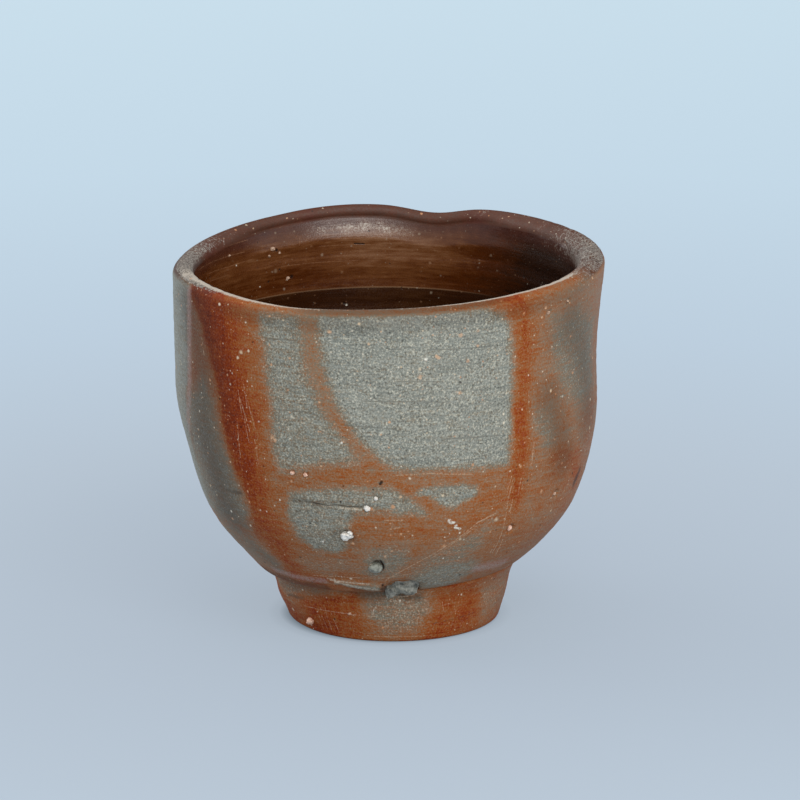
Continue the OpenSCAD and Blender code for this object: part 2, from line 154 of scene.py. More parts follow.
plain = wire(tree, "Emission", [("Color", shades), ("Strength", 1.0)]).outputs[0]
seen = wire(tree, "LightPath").outputs["Is Camera Ray"]
share = wire(tree, "Math", [(0, seen), (1, PLAIN_SHARE)], operation="MULTIPLY").outputs[0]
mixed = wire(tree, "MixShader", [(0, share), (1, shader.outputs[0]), (2, plain)]).outputs[0]
out = next(n for n in tree.nodes if n.type == "OUTPUT_MATERIAL")
tree.links.new(mixed, out.inputs["Surface"])
table_mesh.materials.append(table_finish)
print("table laid")

# %% [markdown]
# The daylight comes from a large window in front, high and a little to the right: the left of the inside
# is lit and its right lies in the dark. The world adds an even pale sky. A weak lamp behind on the left
# stands for the white wall that gives the left edge its pale rim, and one low on the right for the light
# that the pale table throws up under the bowl.

# %% Hang the light
sky = bpy.data.worlds.new("pale_sky")
scene.world = sky
sky.use_nodes = True
glow = sky.node_tree.nodes["Background"].inputs
glow["Color"].default_value = (0.97, 0.98, 1.0, 1)
glow["Strength"].default_value = 0.5


def soft_box(name, place, size, watts, tint=(1, 1, 1)):
    """A square area lamp at a place in metres that points at the cup."""
    lamp = bpy.data.lights.new(name, "AREA")
    lamp.size, lamp.energy, lamp.color = size, watts, tint
    lamp_object = bpy.data.objects.new(name, lamp)
    lamp_object.location = place
    lamp_object.rotation_euler = (AIM - Vector(place)).to_track_quat("-Z", "Y").to_euler()
    scene.collection.objects.link(lamp_object)


soft_box("window", (0.34, -0.85, 0.74), size=0.8, watts=8.8, tint=(1.0, 0.985, 0.96))
soft_box("white_wall", (-0.85, 0.35, 0.45), size=0.6, watts=3.5, tint=(1.0, 0.97, 0.96))
soft_box("table_glow", (0.7, -0.28, 0.05), size=0.5, watts=0.5)

# %% [markdown]
# ## The cup's form as formula
# A potter's wheel makes a form that is the same all round, and the hands then change it: here the wall is
# pressed in on the right and the lip waves. We could import the CAD mesh, but its triangles are coarse
# for a close look. The same few radii and heights, written once more as functions, give any point of the
# surface, so we can make the mesh as fine as the clay's detail needs. Lengths are millimetres, and
# directions are degrees round the axis: 0 is the right side, 90 the back and 270 the front.

# %% Write down the profile
FOOT_H, FOOT_BASE_R, FOOT_TOP_R, FOOT_SWELL, FOOT_EDGE_R = 9.1, 16.7, 18.8, 1.7, 0.6
FOOT_BORE_R, DOME_R, DOME_H = 13.0, 12.3, 2.2
JOINT_RISE = math.tan(math.radians(2.3))
BOWL_H, BASE_R, EDGE_ROUND, BELLY_H = 49.35, 20.6, 1.2, 9.9
SEAT_R = BASE_R - EDGE_ROUND
LIP_ROUND, FLOOR_T, FULLNESS = 1.7, 4.0, 6
knots = np.array([(0, BASE_R), (2.9, 23.6), (BELLY_H, 29), (20.9, 32.4), (32.9, 33.75), (BOWL_H, 34.1)])
spans, rises = np.diff(knots[:, 0]), np.diff(knots[:, 1])
grades = rises / spans
inner_slopes = (grades[:-1] * spans[1:] + grades[1:] * spans[:-1]) / (spans[1:] + spans[:-1])
slopes = np.concatenate([grades[:1], inner_slopes, grades[-1:]])


def plain_r(h):
    """Radius of the outside before any pressing, at heights h above the foot."""
    i = np.clip(np.searchsorted(knots[:, 0], h, side="right") - 1, 0, len(spans) - 1)
    t = np.clip((h - knots[i, 0]) / spans[i], 0, 1)
    curve = ((2 * t**3 - 3 * t**2 + 1) * knots[i, 1] + (t**3 - 2 * t**2 + t) * spans[i] * slopes[i]
             + (3 * t**2 - 2 * t**3) * knots[i + 1, 1] + (t**3 - t**2) * spans[i] * slopes[i + 1])
    return curve + slopes[0] * np.minimum(h, 0) + slopes[-1] * np.maximum(h - BOWL_H, 0)


def bump(x, span):
    """A smooth hill of height 1."""
    return np.exp(-(x / span) ** 2)


def between(a, b):
    """Turn from direction b to direction a, from -180 to 180 degrees."""
    return (a - b + 540) % 360 - 180


def cosd(a):
    """Cosine of degrees."""
    return np.cos(np.radians(a))


print("outside radius at the foot, the middle and the lip:", plain_r(np.array([0, 25, BOWL_H])).round(2))

# %% [markdown]
# Now the hands change the round form. A press moves the wall in on the right. The lip tilts a little and
# rises and dips in five soft waves, the deepest of them the notch at the back. The lower edge follows the
# sloping joint with the foot, and the inside follows the outside at the wall's thickness, with the low
# spiral ridges that the fingers leave.

# %% Press the wall and wave the lip
PRESS_DEPTH, PRESS_H, PRESS_SPAN = 1.4, 35.8, 10.5
LIP_TILT, LIP_TILT_TO = 0.62, 10
LIP_T, LIP_T_CHANGE = 3.7, 0.5
RIDGE_DEPTH, RIDGE_PITCH = 0.3, 4.6
lip_waves = [(77, -1.2, 10), (106, 0.45, 16), (165, -0.85, 28), (236, -0.4, 25), (268, -0.4, 50)]


def pressed(h, a):
    """How far the wall is pressed in: most on the right and nothing on the left."""
    return PRESS_DEPTH * bump(h - PRESS_H, PRESS_SPAN) * ((1 + cosd(a)) / 2) ** 2


def edge_h(a):
    """Height of the bowl's lower edge, along the sloping joint."""
    return BASE_R * cosd(a) * JOINT_RISE


def wall_r(h, a):
    """Radius of the outside: the lower flank leans with the tilted joint and comes level higher up."""
    level = h - edge_h(a) * np.maximum(0, 1 - (h - edge_h(a)) / BELLY_H)
    return plain_r(level) - pressed(h, a)


def lip_h(a):
    """Height of the lip: its tilt and its waves, each a direction, a rise and a half width in degrees."""
    height = BOWL_H + LIP_TILT * cosd(a - LIP_TILT_TO)
    for direction, rise, half_width in lip_waves:
        height = height + rise * bump(between(a, direction), half_width)
    return height


def lip_wall(a):
    """Thickness of the lip."""
    return LIP_T + LIP_T_CHANGE * cosd(a - LIP_TILT_TO)


def inside_r(v, a):
    """Radius of the inside at a share v of its depth, 0 on the floor and 1 under the lip."""
    h = FLOOR_T + v * (lip_h(a) - LIP_ROUND - FLOOR_T)
    ridges = RIDGE_DEPTH * (0.5 - 0.5 * cosd(360 * h / RIDGE_PITCH - a)) * 4 * v * (1 - v)
    return (wall_r(h, a) - lip_wall(a)) * np.sqrt(1 - (1 - v) ** FULLNESS) - ridges


print("lip height at the right, back, left and front:", lip_h(np.array([0, 90, 180, 270])).round(2))

# %% [markdown]
# ## Noise for hand-made surfaces
# Clay never moves evenly. Blender's noise texture works in a shader, but here we want to move points of a
# mesh and fray the edges of fire marks, so we need noise as numbers. This is value noise: a repeatable
# scramble gives each corner of a grid a height, and a smooth blend fills the space between.

# %% Make the noise
BITS_32 = 0xFFFFFFFF


def scramble(ix, iy, iz, seed):
    """A number from 0 to 1 for a corner of the grid: large odd factors and shifts mix its whole numbers."""
    n = (ix * 374761393 + iy * 668265263 + iz * 1274126177 + seed * 362437) & BITS_32
    n = ((n ^ (n >> 13)) * 1103515245) & BITS_32
    return ((n ^ (n >> 16)) & 0xFFFF) / 65535.0


def noise(p, size, seed=0):
    """Smooth noise from 0 to 1 at points p, with features of about the given size."""
    q = np.asarray(p, float) / size
    c = np.floor(q).astype(np.int64)
    f = q - c
    f = f * f * (3 - 2 * f)
    total = 0
    for corner in np.ndindex(2, 2, 2):
        weight = np.prod([f[..., k] if corner[k] else 1 - f[..., k] for k in range(3)], axis=0)
        total = total + weight * scramble(*(c[..., k] + corner[k] for k in range(3)), seed)
    return total


def layered(p, size, seed=0, layers=3):
    """Noise on top of finer noise, still about 0 to 1."""
    total = sum(noise(p, size / 2**k, seed + k) / 2**k for k in range(layers))
    return total / sum(1 / 2**k for k in range(layers))


def smooth(low, high, x):
    """0 below low, 1 above high and an S-curve between; low may be the larger."""
    t = np.clip((x - low) / (high - low), 0, 1)
    return t * t * (3 - 2 * t)


print("noise check:", noise(np.array([[1.0, 2.0, 3.0], [1.5, 2.5, 3.5]]), 2.0).round(3))

# %% [markdown]
# ## A net over the bowl
# We lay a net of points over the whole bowl: columns round the axis and rows from the middle of the
# underside, over the rounded lower edge, up the outside, over the lip and down to the middle of the
# floor. The columns stand closer together on the front, where the photo shows the most.

# %% Cast the net
FRONT_FROM, FRONT_TO = 195, 345
FRONT_COLUMNS, BACK_COLUMNS = 262, 118
front = np.linspace(FRONT_FROM, FRONT_TO, FRONT_COLUMNS, endpoint=False)
rear = np.linspace(FRONT_TO, FRONT_FROM + 360, BACK_COLUMNS, endpoint=False) % 360
directions = np.concatenate([front, rear])
UNDER_ROWS, SEAT_ROWS, EDGE_ROWS, OUT_ROWS, LIP_ROWS = 8, 5, 6, 166, 18
HIGH_ROWS, LOW_ROWS, HIGH_SHARE, LOW_CROWDING = 16, 38, 0.86, 1.5
A = directions[None, :]


def facing(direction, half_width):
    """1 for columns that face a direction, fading out round the cup over a half width in degrees."""
    return bump(between(A, direction), half_width)


def underside_rows():
    """Radii and heights of the domed underside and of the seat on the foot."""
    dome, seat = np.linspace(0, DOME_R, UNDER_ROWS + 1)[1:], np.linspace(DOME_R, SEAT_R, SEAT_ROWS)[1:-1]
    r = np.concatenate([dome, seat])[:, None]
    h = r * cosd(A) * JOINT_RISE - DOME_H * (1 - np.minimum(r / DOME_R, 1) ** 2)
    return r + 0 * A, h


def outside_rows():
    """The rounded lower edge and the wall up to the lip."""
    w = np.radians(np.linspace(0, 90, EDGE_ROWS))[:, None]
    low = edge_h(A) + EDGE_ROUND * (1 - np.cos(w))
    low_r = wall_r(low, A) - EDGE_ROUND * (1 - np.sin(w))
    low[0] = SEAT_R * cosd(A) * JOINT_RISE
    start = edge_h(A) + EDGE_ROUND
    h = start + (lip_h(A) - LIP_ROUND - start) * np.linspace(0, 1, OUT_ROWS + 1)[1:, None]
    return np.concatenate([low_r, wall_r(h, A)]), np.concatenate([low, h])


def lip_rows():
    """Half an ellipse over the lip."""
    w = np.pi * (np.arange(1, LIP_ROWS + 1) / LIP_ROWS)[:, None]
    spring = lip_h(A) - LIP_ROUND
    half = lip_wall(A) / 2
    return wall_r(spring, A) - half + half * np.cos(w), spring + LIP_ROUND * np.sin(w)


def inside_rows():
    """The inside down to the floor, with closer rows near the lip."""
    high = np.linspace(1, HIGH_SHARE, HIGH_ROWS + 1)[1:]
    low = HIGH_SHARE * (1 - np.arange(1, LOW_ROWS) / LOW_ROWS) ** LOW_CROWDING
    v = np.concatenate([high, low])[:, None]
    return inside_r(v, A), FLOOR_T + v * (lip_h(A) - LIP_ROUND - FLOOR_T)


print("columns:", len(directions))

# %% [markdown]
# The four parts are stacked to one net. Two things go with every point: which part it belongs to, and how
# far it has come over the lip, from 0 at the lip's outer foot over 0.5 on its crest to 1 at its inner foot.

# %% Stack the rows
UNDER, OUTSIDE, LIP, INSIDE = range(4)
parts = [underside_rows(), outside_rows(), lip_rows(), inside_rows()]
counts = [len(p[0]) for p in parts]
R, H = (np.concatenate([p[k] for p in parts]) for k in (0, 1))
Z = H + FOOT_H
kind = np.repeat([UNDER, OUTSIDE, LIP, INSIDE], counts)[:, None] + 0 * A.astype(int)
on_wall, on_rim, within = ((kind == k) * 1.0 for k in (OUTSIDE, LIP, INSIDE))
across_lip = np.arange(1, LIP_ROWS + 1) / LIP_ROWS
over_lip = np.concatenate([np.zeros(sum(counts[:2])), across_lip, np.ones(counts[INSIDE])])[:, None]
points = np.stack([R * cosd(A), R * np.sin(np.radians(A)), Z], axis=-1)
print("bowl net:", points.shape[:2], "rows by part", counts)

# %% [markdown]
# ## Fire marks, as shapes on the unrolled wall
# Straw cords and ash shield some of the clay from the flame. Where the wall was shielded it stays ash
# grey, and elsewhere it turns tan, orange or dark red. On the real cup these are soft-edged panels with
# streaks between them. We could paint a picture of them, but shapes written as a few corners stay sharp
# at any size. The wall is unrolled flat: one axis is the direction, the other the height.

# %% Unroll the wall
CHART_R = 33.0


def chart(direction, z):
    """Flat place in mm of a direction and height: 0 is the middle of the front, right is positive."""
    sideways = np.radians(between(np.asarray(direction, float), 270)) * CHART_R
    return np.stack([sideways, np.asarray(z, float)], axis=-1)


def same_side(path, spot):
    """Corners of a path and all spots in mm, unrolled from a cut on the far side of the cup."""
    corners = chart([c[0] for c in path], [c[1] for c in path])
    home, lap = corners[0, 0], 2 * np.pi * CHART_R

    def unroll(x):
        return home + (x - home + 1.5 * lap) % lap - lap / 2

    corners = np.stack([unroll(corners[:, 0]), corners[:, 1]], axis=-1)
    return corners, np.stack([unroll(spot[..., 0]), spot[..., 1]], axis=-1)


def line_distance(path, spot):
    """Distance from every spot to a path of (direction, z) corners, and how far along the path it is."""
    corners, spot = same_side(path, spot)
    best = np.full(spot.shape[:-1], 1e9)
    along = np.zeros_like(best)
    for k, (p, q) in enumerate(zip(corners[:-1], corners[1:])):
        d = q - p
        t = np.clip(((spot - p) @ d) / (d @ d), 0, 1)
        gap = np.linalg.norm(spot - p - t[..., None] * d, axis=-1)
        along = np.where(gap < best, (k + t) / (len(corners) - 1), along)
        best = np.minimum(best, gap)
    return best, along


def inside_shape(path, spot):
    """How deep each spot lies inside a closed shape of (direction, z) corners, negative outside it."""
    gap, _ = line_distance(list(path) + [path[0]], spot)
    corners, spot = same_side(path, spot)
    odd = np.zeros(spot.shape[:-1], bool)
    for p, q in zip(corners, np.roll(corners, -1, axis=0)):
        if p[1] != q[1]:
            crosses = (p[1] > spot[..., 1]) != (q[1] > spot[..., 1])
            edge_x = (q[0] - p[0]) * (spot[..., 1] - p[1]) / (q[1] - p[1]) + p[0]
            odd ^= crosses & (spot[..., 0] < edge_x)
    return np.where(odd, gap, -gap)


print("chart width in mm:", round(2 * math.pi * CHART_R, 1))

# %% [markdown]
# Fire marks have no ruled edges. So each point looks its mark up a little beside its own place: a slow
# wobble bends the edges by about half a millimetre, and a fine fray makes them ragged at the size of sand.
# Three small helpers cover a closed shape softly, move a value towards a target and draw soft lines.

# %% Fray the edges
WOBBLE, FRAY = 1.2, 0.3


def cover_of(path, softness, spot):
    """1 inside a closed shape and 0 outside it, with an edge that is soft by some mm."""
    return smooth(-softness, softness, inside_shape(path, spot))


def towards(value, target, share):
    """The value, moved to the target by a share from 0 to 1."""
    return value * (1 - share) + target * share


def soft_lines(lines, spot):
    """The strongest of some soft lines, each with a path, a half width in mm and a strength."""
    strongest = 0
    for path, half_width, strength in lines:
        gap, _ = line_distance(path, spot)
        strongest = np.maximum(strongest, strength * bump(gap, half_width))
    return strongest


flat = chart(A + 0 * Z, Z)
wobble = np.stack([layered(points, 3.2, 11) - 0.5, layered(points, 3.2, 21) - 0.5], axis=-1)
fray = np.stack([noise(points, 0.7, 31) - 0.5, noise(points, 0.7, 41) - 0.5], axis=-1)
spot = flat + wobble * WOBBLE + fray * FRAY
print("unrolled wall in mm:", flat.reshape(-1, 2).min(0).round(1), flat.reshape(-1, 2).max(0).round(1))

# %% [markdown]
# ## Flames and ash
# All marks meet in one number for every point, the flash: 0 is ash grey, 1 orange brown, 1.5 and more
# dark red. One number with one colour ramp gives the in-between colours of real flashing at every soft
# edge. First come the flames. The broad red streak on the left has two edges: it is dark red along the
# left one and fades to orange at the right one. The thin streaks are paths with a half width.

# %% Draw the flames
red_left = [
    (203, 58), (205, 54.7), (210, 51.5), (213.5, 48.7), (216, 44.2), (218, 40), (219, 36), (221, 31.5),
    (223, 26.5), (225, 21.3), (226, 16.5), (230, 12.5)]
red_right = [
    (231, 58), (233, 52), (235, 47), (236.5, 42), (236.8, 37.5), (236, 33), (236.2, 29), (238, 25),
    (240, 19.5), (244, 16), (250, 13)]
flame_streaks = [  # path, half width in mm at its start and end, flash added at the core
    ([(306, 58.6), (308, 53.2), (309, 48.2), (308.5, 41.8), (308.5, 35.4), (308, 30.4), (308.5, 25.3)],
      2.1, 1.5, 0.35),
    ([(297, 58.8), (304, 58), (312, 57.5), (318, 57.2)], 1.2, 1.2, 0.1),
    ([(271, 30.5), (274.1, 29.1), (279.8, 27), (284.3, 25.1), (288, 23.8)], 1.1, 1.1, 0.05),
    ([(270, 22.6), (280, 22.4), (290, 22.8), (302, 25.4)], 1.3, 1.5, 0.05),
    ([(262, 30.9), (275, 30.6), (300, 30.4)], 0.9, 1.1, -0.06),
    ([(249, 57), (249.5, 50.6), (251.5, 46), (255, 41.2), (259, 37.3), (264.6, 34.2)], 2.0, 2.0, -0.08),
    ([(249, 57), (249.5, 50.6), (251.5, 46), (254, 42.5)], 2.2, 2.0, -0.2),
    ([(325, 31), (334, 29.5), (340, 25)], 2.4, 2.0, 0.25),
    ([(63, 57), (62, 44), (60, 30), (56, 18)], 2.6, 1.8, 0.5),
    ([(115, 57), (114, 42), (108, 24), (100, 20)], 2.2, 1.8, 0.4),
    ([(158, 57), (158, 40), (150, 22), (140, 14)], 3.0, 2.2, 0.45),
    ([(8, 56), (10, 40), (14, 24)], 2.4, 1.6, 0.3),
]
warm_areas = [  # direction and half width in degrees, z where it sets in and where it is full, flash added
    (230, 20, 24, 13, 0.22), (331, 20, 26, 34, -0.2), (316, 16, 28, 17, -0.14)]
BARE_FLASH, FLASH_CHANGE = 0.86, 0.3
flash = BARE_FLASH + FLASH_CHANGE * (layered(points, 9, 51) - 0.5)
for direction, half_width, from_z, to_z, gain in warm_areas:
    flash = flash + gain * facing(direction, half_width) * smooth(from_z, to_z, Z)
for path, wide, narrow, gain in flame_streaks:
    gap, along = line_distance(path, spot)
    flash = flash + gain * bump(gap, wide + (narrow - wide) * along)
RED_CORE, RED_FADE = 1.54, 0.6
from_left, from_right = line_distance(red_left, spot)[0], line_distance(red_right, spot)[0]
across = smooth(0.3, 1, from_left / (from_left + from_right))
cooler = smooth(38, 20, Z)
red = RED_CORE - 0.34 * cooler - (RED_FADE - 0.3 * cooler) * across
flash = towards(flash, red, smooth(-1.4, 1.6, inside_shape(red_left + red_right[::-1], spot)))
print("flames from", flash[kind == OUTSIDE].min().round(2), "to", flash[kind == OUTSIDE].max().round(2))

# %% [markdown]
# The ash panels lie over the flames. Each is a closed shape with its own flash and softness. The thin tan
# streak that curves across the front is just the gap between two panels. The panels at the back are our
# own, made to match: the photo does not show that side.

# %% Lay the ash
ash_panels = [  # corners, flash inside, softness in mm, salt in it
    ([(251.3, 57.7), (276.5, 58.1), (296, 57.8), (300.5, 56.2), (303.4, 53.5), (304.6, 48),
      (304.8, 35.7), (303.6, 32), (286.5, 32.5), (271.5, 32.9), (267.3, 34), (261.6, 37.4),
      (257.5, 41.3), (254.2, 45.8), (252.2, 50), (251.3, 54)], 0.02, 1.3, 1.0),
    ([(234, 56), (246, 57), (246.3, 52.5), (247.4, 48.1), (251, 43.5), (253, 41), (256, 38.5),
      (259.7, 35.7), (261.8, 33.8), (253.5, 33), (245, 32), (239, 31.2), (237.5, 34.4), (237, 40.9),
      (235.8, 47.2), (233.8, 52.6)], 0.22, 1.5, 0.8),
    ([(241.5, 27.5), (253.5, 28.9), (264, 29.5), (270, 29.3), (273.2, 28.4), (277.6, 26.3),
      (280.8, 24.7), (275, 25.1), (267, 25.5), (260.5, 25.3), (258.5, 23.8), (257.5, 20.2), (254, 17.7),
      (246.5, 17.7), (241.5, 19.6), (239.5, 23.6)], 0.22, 1.1, 0.75),
    ([(277, 28.3), (279.3, 29.3), (285.5, 29.5), (293.8, 29), (295, 28), (292.8, 26.9), (288.4, 25.8),
      (285, 26.2), (282.4, 27.3), (280, 28)], 0.16, 0.8, 0.8),
    ([(168, 57.6), (202.5, 57.6), (203.5, 50), (202.5, 44.8), (200, 37.9), (198.5, 32.8), (199, 27.8),
      (201, 19), (180, 19), (170, 27), (164, 37), (162, 47), (163, 54)], 0.07, 1.2, 0.4),
    ([(203, 55), (208, 53), (212, 49), (215, 45), (217.5, 40), (210, 38), (200.5, 37), (202.5, 46)],
      0.9, 1.4, 0.1),
    ([(201.5, 38.5), (207, 41), (209.5, 43.5), (212.5, 43.5), (214.5, 40), (216.4, 36.5), (218.5, 33),
      (221.5, 26.5), (224.5, 23), (221, 19.5), (208, 18), (197, 18), (198, 30), (200, 36)], 0.3, 1.8,
      0.35),
    ([(192, 16), (199, 19), (210, 19.6), (221, 17.6), (228, 14), (224, 10.6), (208, 10.6), (196, 13)],
      0.5, 2.4, 0.1),
    ([(319.5, 53.2), (332, 53.6), (345, 50.4), (348, 39), (336, 37.6), (327, 40.5), (321, 47)], 0.4,
      2.2, 0.3),
    ([(313.5, 40.5), (320, 38.9), (322, 33.8), (317, 33.1), (314, 36.4)], 0.45, 1.6, 0.3),
    ([(278.7, 10.6), (278, 13), (283.8, 15), (291.9, 16.2), (298.2, 15.3), (303.6, 13.6), (299.9, 11.3),
      (294.6, 9.2), (286.9, 9)], 0.28, 2.0, 0.4),
    ([(261.5, 16.4), (266.9, 18.5), (274.9, 18.9), (275.3, 16.1), (272.9, 13.3), (264.5, 12.7),
      (260.1, 13.9)], 0.4, 1.9, 0.4),
    ([(300, 22), (290, 18.8), (283, 16.6), (277, 14.6), (284, 15.4), (293, 16.6), (299, 18)], 0.5, 1.8,
      0.3),
    ([(234.7, 14.8), (246.9, 17), (256, 16.6), (260, 15), (252, 13.6), (239.9, 13.2)], 0.7, 1.6, 0.2),
    ([(246, 11.3), (251, 11.75), (258.5, 11.6), (266.5, 11.3), (267.2, 10.1), (263.7, 9.95),
      (258.6, 10.45), (252, 11)], 0.34, 0.4, 0.4),
    ([(18, 36), (17, 47), (23, 53), (37, 55.2), (51, 54), (56.5, 48), (58, 39), (56, 29), (51, 24),
      (40, 22), (29, 23), (22, 29)], 0.08, 2.4, 0.8),
    ([(68, 40), (68, 50), (74, 54.5), (91, 55.8), (105, 54), (110, 48), (112, 38), (106, 29.5),
      (97, 26.4), (84, 26), (75, 28), (70, 33)], 0.0, 2.2, 1.0),
    ([(118, 40), (120, 49), (127, 53.5), (140, 54.6), (149, 52), (153, 44), (153, 34), (149, 25),
      (142, 20.5), (133, 21), (124, 27)], 0.2, 2.4, 0.7),
    ([(38, 15.5), (46, 18.5), (70, 20.2), (92, 19), (101, 15.5), (92, 12.6), (70, 11.8), (48, 12.4)],
      0.3, 2.2, 0.5),
]
shield = np.zeros_like(flash)
for path, level, softness, salt in ash_panels:
    cover = cover_of(path, softness, spot)
    flash = towards(flash, level, cover)
    shield = towards(shield, salt, cover)
print("shielded share", (shield[kind == OUTSIDE] > 0.5).mean().round(2))

# %% [markdown] Add the soot and the painted shade
# Soft dark lines come over all else. Smoke darkened the clay in scores of the wheel, and broad soft lines
# darken it beside the red streak and in the pressed side. The rest are painted shade under the bowl's
# rounded lower edge and under the torn flap, and painted shadows round the large white stone and above
# the pebble.

# %% Add the soot
soot_and_shade_lines = [  # path, half width in mm, strength
    ([(199.3, 32.4), (208, 33), (218.3, 33.9)], 0.45, 0.55),
    ([(210.4, 25.7), (216, 25.4), (222.2, 25.6)], 0.5, 0.7),
    ([(242.3, 26.2), (246.7, 26.1), (250, 26.2)], 0.4, 0.5),
    ([(341, 26.1), (338.5, 24.4)], 0.7, 0.8),
    ([(206, 53), (210, 47), (210, 40), (210, 33), (212, 27), (213, 22)], 6.5, 0.64),
    # Painted shadow under the torn flap, and painted shade at its end.
    ([(255, 9.9), (262, 9.3), (267, 9.3)], 0.5, 0.4),
    ([(267.3, 10.6), (268, 9.6)], 0.5, 0.9),
    ([(327, 52), (335, 48), (340, 42), (342, 36)], 5.0, 0.46),
    ([(319, 41), (323, 36), (327, 30)], 3.6, 0.42),
    ([(204, 19), (214, 16.5), (222, 13)], 3.2, 0.3),
    # Painted shade under the bowl's rounded lower edge, and painted shadows round the large white stone and
    # above the pebble.
    ([(205, 9.4), (217, 9.4), (231, 9.3), (243, 9.4)], 0.95, 0.55),
    ([(256, 21), (258.4, 20.6)], 1.5, 0.3),
    ([(265.5, 15.3), (266.6, 14.5)], 0.9, 0.6),
]
soot_and_shade = soft_lines(soot_and_shade_lines, spot)
print("sooty share", (soot_and_shade[kind == OUTSIDE] > 0.3).mean().round(2))

# %% [markdown]
# ## The lip and the inside
# The front of the lip has a thin brown band, with painted shade below it and a worn pale line along its
# crest. Its left and right ends carry rough, pitted ash. The back is dark maroon, with a painted sheen
# where it turns inwards.
# How far a point has come over the lip tells these apart.

# %% Mark the lip
BAND_FLASH, BAND_SOOT, SHADE_BELOW = 0.7, 0.5, 0.3
RIGHT_ASH, CREST_ASH, LEFT_WEAR, BACK_SHEEN = 0.54, 0.3, 0.58, 0.39
below_lip = lip_h(A) - LIP_ROUND - H
on_lip = on_rim * smooth(0.05, 0.2, over_lip) + within * smooth(3.2, 0.4, below_lip)
front_share = smooth(80, 62, np.abs(between(A, 266)))
# The brown band, darker in the middle of the front, and painted shade below it.
band = on_rim * front_share * smooth(0.12, 0.3, over_lip)
band_flash = BAND_FLASH + 0.15 * smooth(274, 290, A)
flash = np.maximum(flash, flash + (band_flash - flash) * band)
skin = np.where(kind == LIP, smooth(0.3, 0.14, over_lip), on_wall)
soot_and_shade = np.maximum(soot_and_shade, BAND_SOOT * band * smooth(36, 22, np.abs(between(A, 274))))
soot_and_shade = np.maximum(soot_and_shade, SHADE_BELOW * skin * smooth(2.6, 0.2, below_lip) * front_share)
shield = np.where(kind == LIP, shield * (1 - smooth(0.12, 0.26, over_lip)), shield * on_wall)
# The maroon back, and the ash on both ends, on the crest and on two places at the back.
maroon = on_lip * (1 - front_share)
left_end, right_end = facing(196, 17), facing(2, 30)
crest = on_rim * smooth(0.16, 0.36, over_lip) * smooth(1.0, 0.8, over_lip)
crest_line = on_rim * smooth(0.28 + 0.14 * smooth(220, 262, A), 0.5, over_lip)
back_ash = 0.42 * facing(164, 20) + 0.18 * facing(63, 5)
ash = crest * (left_end + back_ash) + RIGHT_ASH * on_lip * right_end
ash = np.clip(ash + CREST_ASH * crest_line * front_share, 0, 1)
# Wear on the pale line along the crest and on the left end, and a painted sheen
# on the turn inwards at the back.
worn = crest_line * front_share * (0.76 - 0.58 * facing(266, 20)) * smooth(0.8, 0.56, over_lip)
worn = np.maximum(worn, LEFT_WEAR * crest * facing(196, 12))
worn = np.maximum(worn, BACK_SHEEN * within * facing(99, 24) * bump(below_lip - 1.7, 1.3))
print("ash on the lip covers", (ash[kind == LIP] > 0.5).mean().round(2), "of it")

# %% [markdown]
# Inside, the bare wall is a glossy orange brown. One number, the tone, says how light it is, and it also
# carries painted light and shade: painted light makes the back lightest, and painted shade makes the wall
# darker lower down and nearly black on the right, where no light reaches it.

# %% Tone the inside
TONE = 0.86
# Painted shade darkens the tone lower down, most of all at the back.
tone_and_shading = TONE - 0.15 * smooth(40, 25, Z) - 0.2 * smooth(51.5, 46, Z) * (0.5 + 0.5 * facing(92, 40))
tone_and_shading = tone_and_shading + 0.2 * (layered(points, 7, 61) - 0.5)
# Painted shade makes the right nearly black, the left is a little darker, and painted light lifts the back.
tone_and_shading = tone_and_shading * (1 - 0.92 * facing(18, 36)) - 0.1 * facing(165, 25) + 0.14 * facing(88, 22)
print("tone inside from", tone_and_shading[kind == INSIDE].min().round(2), "to", tone_and_shading[kind == INSIDE].max().round(2))

# %% [markdown]
# ## Thumb marks, wheel lines and torn clay
# The wall is not smooth: the wheel left fine level grooves, the hands left shallow hollows, and the sand
# tore the clay. We could sculpt this by hand, but numbers can be changed later: each mark is a move of the
# net along its normals, in parts of a millimetre. This cell also pits the ends of the lip, rolls its inner
# edge over at the back, and makes the left side fuller and the lower right flatter, as in the photo.

# %% Work the clay
WHEEL_OUT, HANDS_OUT, WHEEL_IN, HANDS_IN = 0.1, 0.28, 0.09, 0.12
LEFT_FULL, LEFT_FLAT, LEFT_TUCK, RIGHT_FLAT = 0.4, 0.3, 0.4, 0.3
PIT_DEPTH, ROLL = 0.5, 0.95


def net_normals(p):
    """Outward directions of a net, from its neighbours in the row and in the column."""
    along_row = np.roll(p, -1, axis=1) - np.roll(p, 1, axis=1)
    up = np.gradient(p, axis=0)
    n = np.cross(along_row, up)
    return n / np.maximum(np.linalg.norm(n, axis=-1, keepdims=True), 1e-9)


wheel = layered(points * np.array([0.16, 0.16, 1.0]), 0.9, 61, 2) - 0.5
hands = layered(points, 14, 71, 2) - 0.5
outer_push = (on_wall + on_rim) * (WHEEL_OUT * wheel + HANDS_OUT * hands * smooth(12, 18, Z))
push = outer_push + within * (WHEEL_IN * wheel + HANDS_IN * hands)
lip_ends = np.maximum(left_end, right_end)
pits = smooth(0, 0.3, ash) * smooth(0.52, 0.75, layered(points, 0.8, 81, 2)) * lip_ends
push = push - PIT_DEPTH * on_rim * pits
rolled = np.where(kind == LIP, smooth(0.5, 1.0, over_lip), within * np.clip(1 - below_lip / 3.4, 0, 1))
push = push - ROLL * rolled * smooth(52, 30, np.abs(between(A, 98)))
left_bulge = LEFT_FULL * bump(Z - 36.5, 4.5) - LEFT_FLAT * bump(Z - 23.5, 5)
left_bulge = left_bulge - LEFT_TUCK * bump(Z - 11.5, 3)
push = push + on_wall * (left_bulge * facing(180, 30) - RIGHT_FLAT * bump(Z - 22, 5) * facing(0, 30))
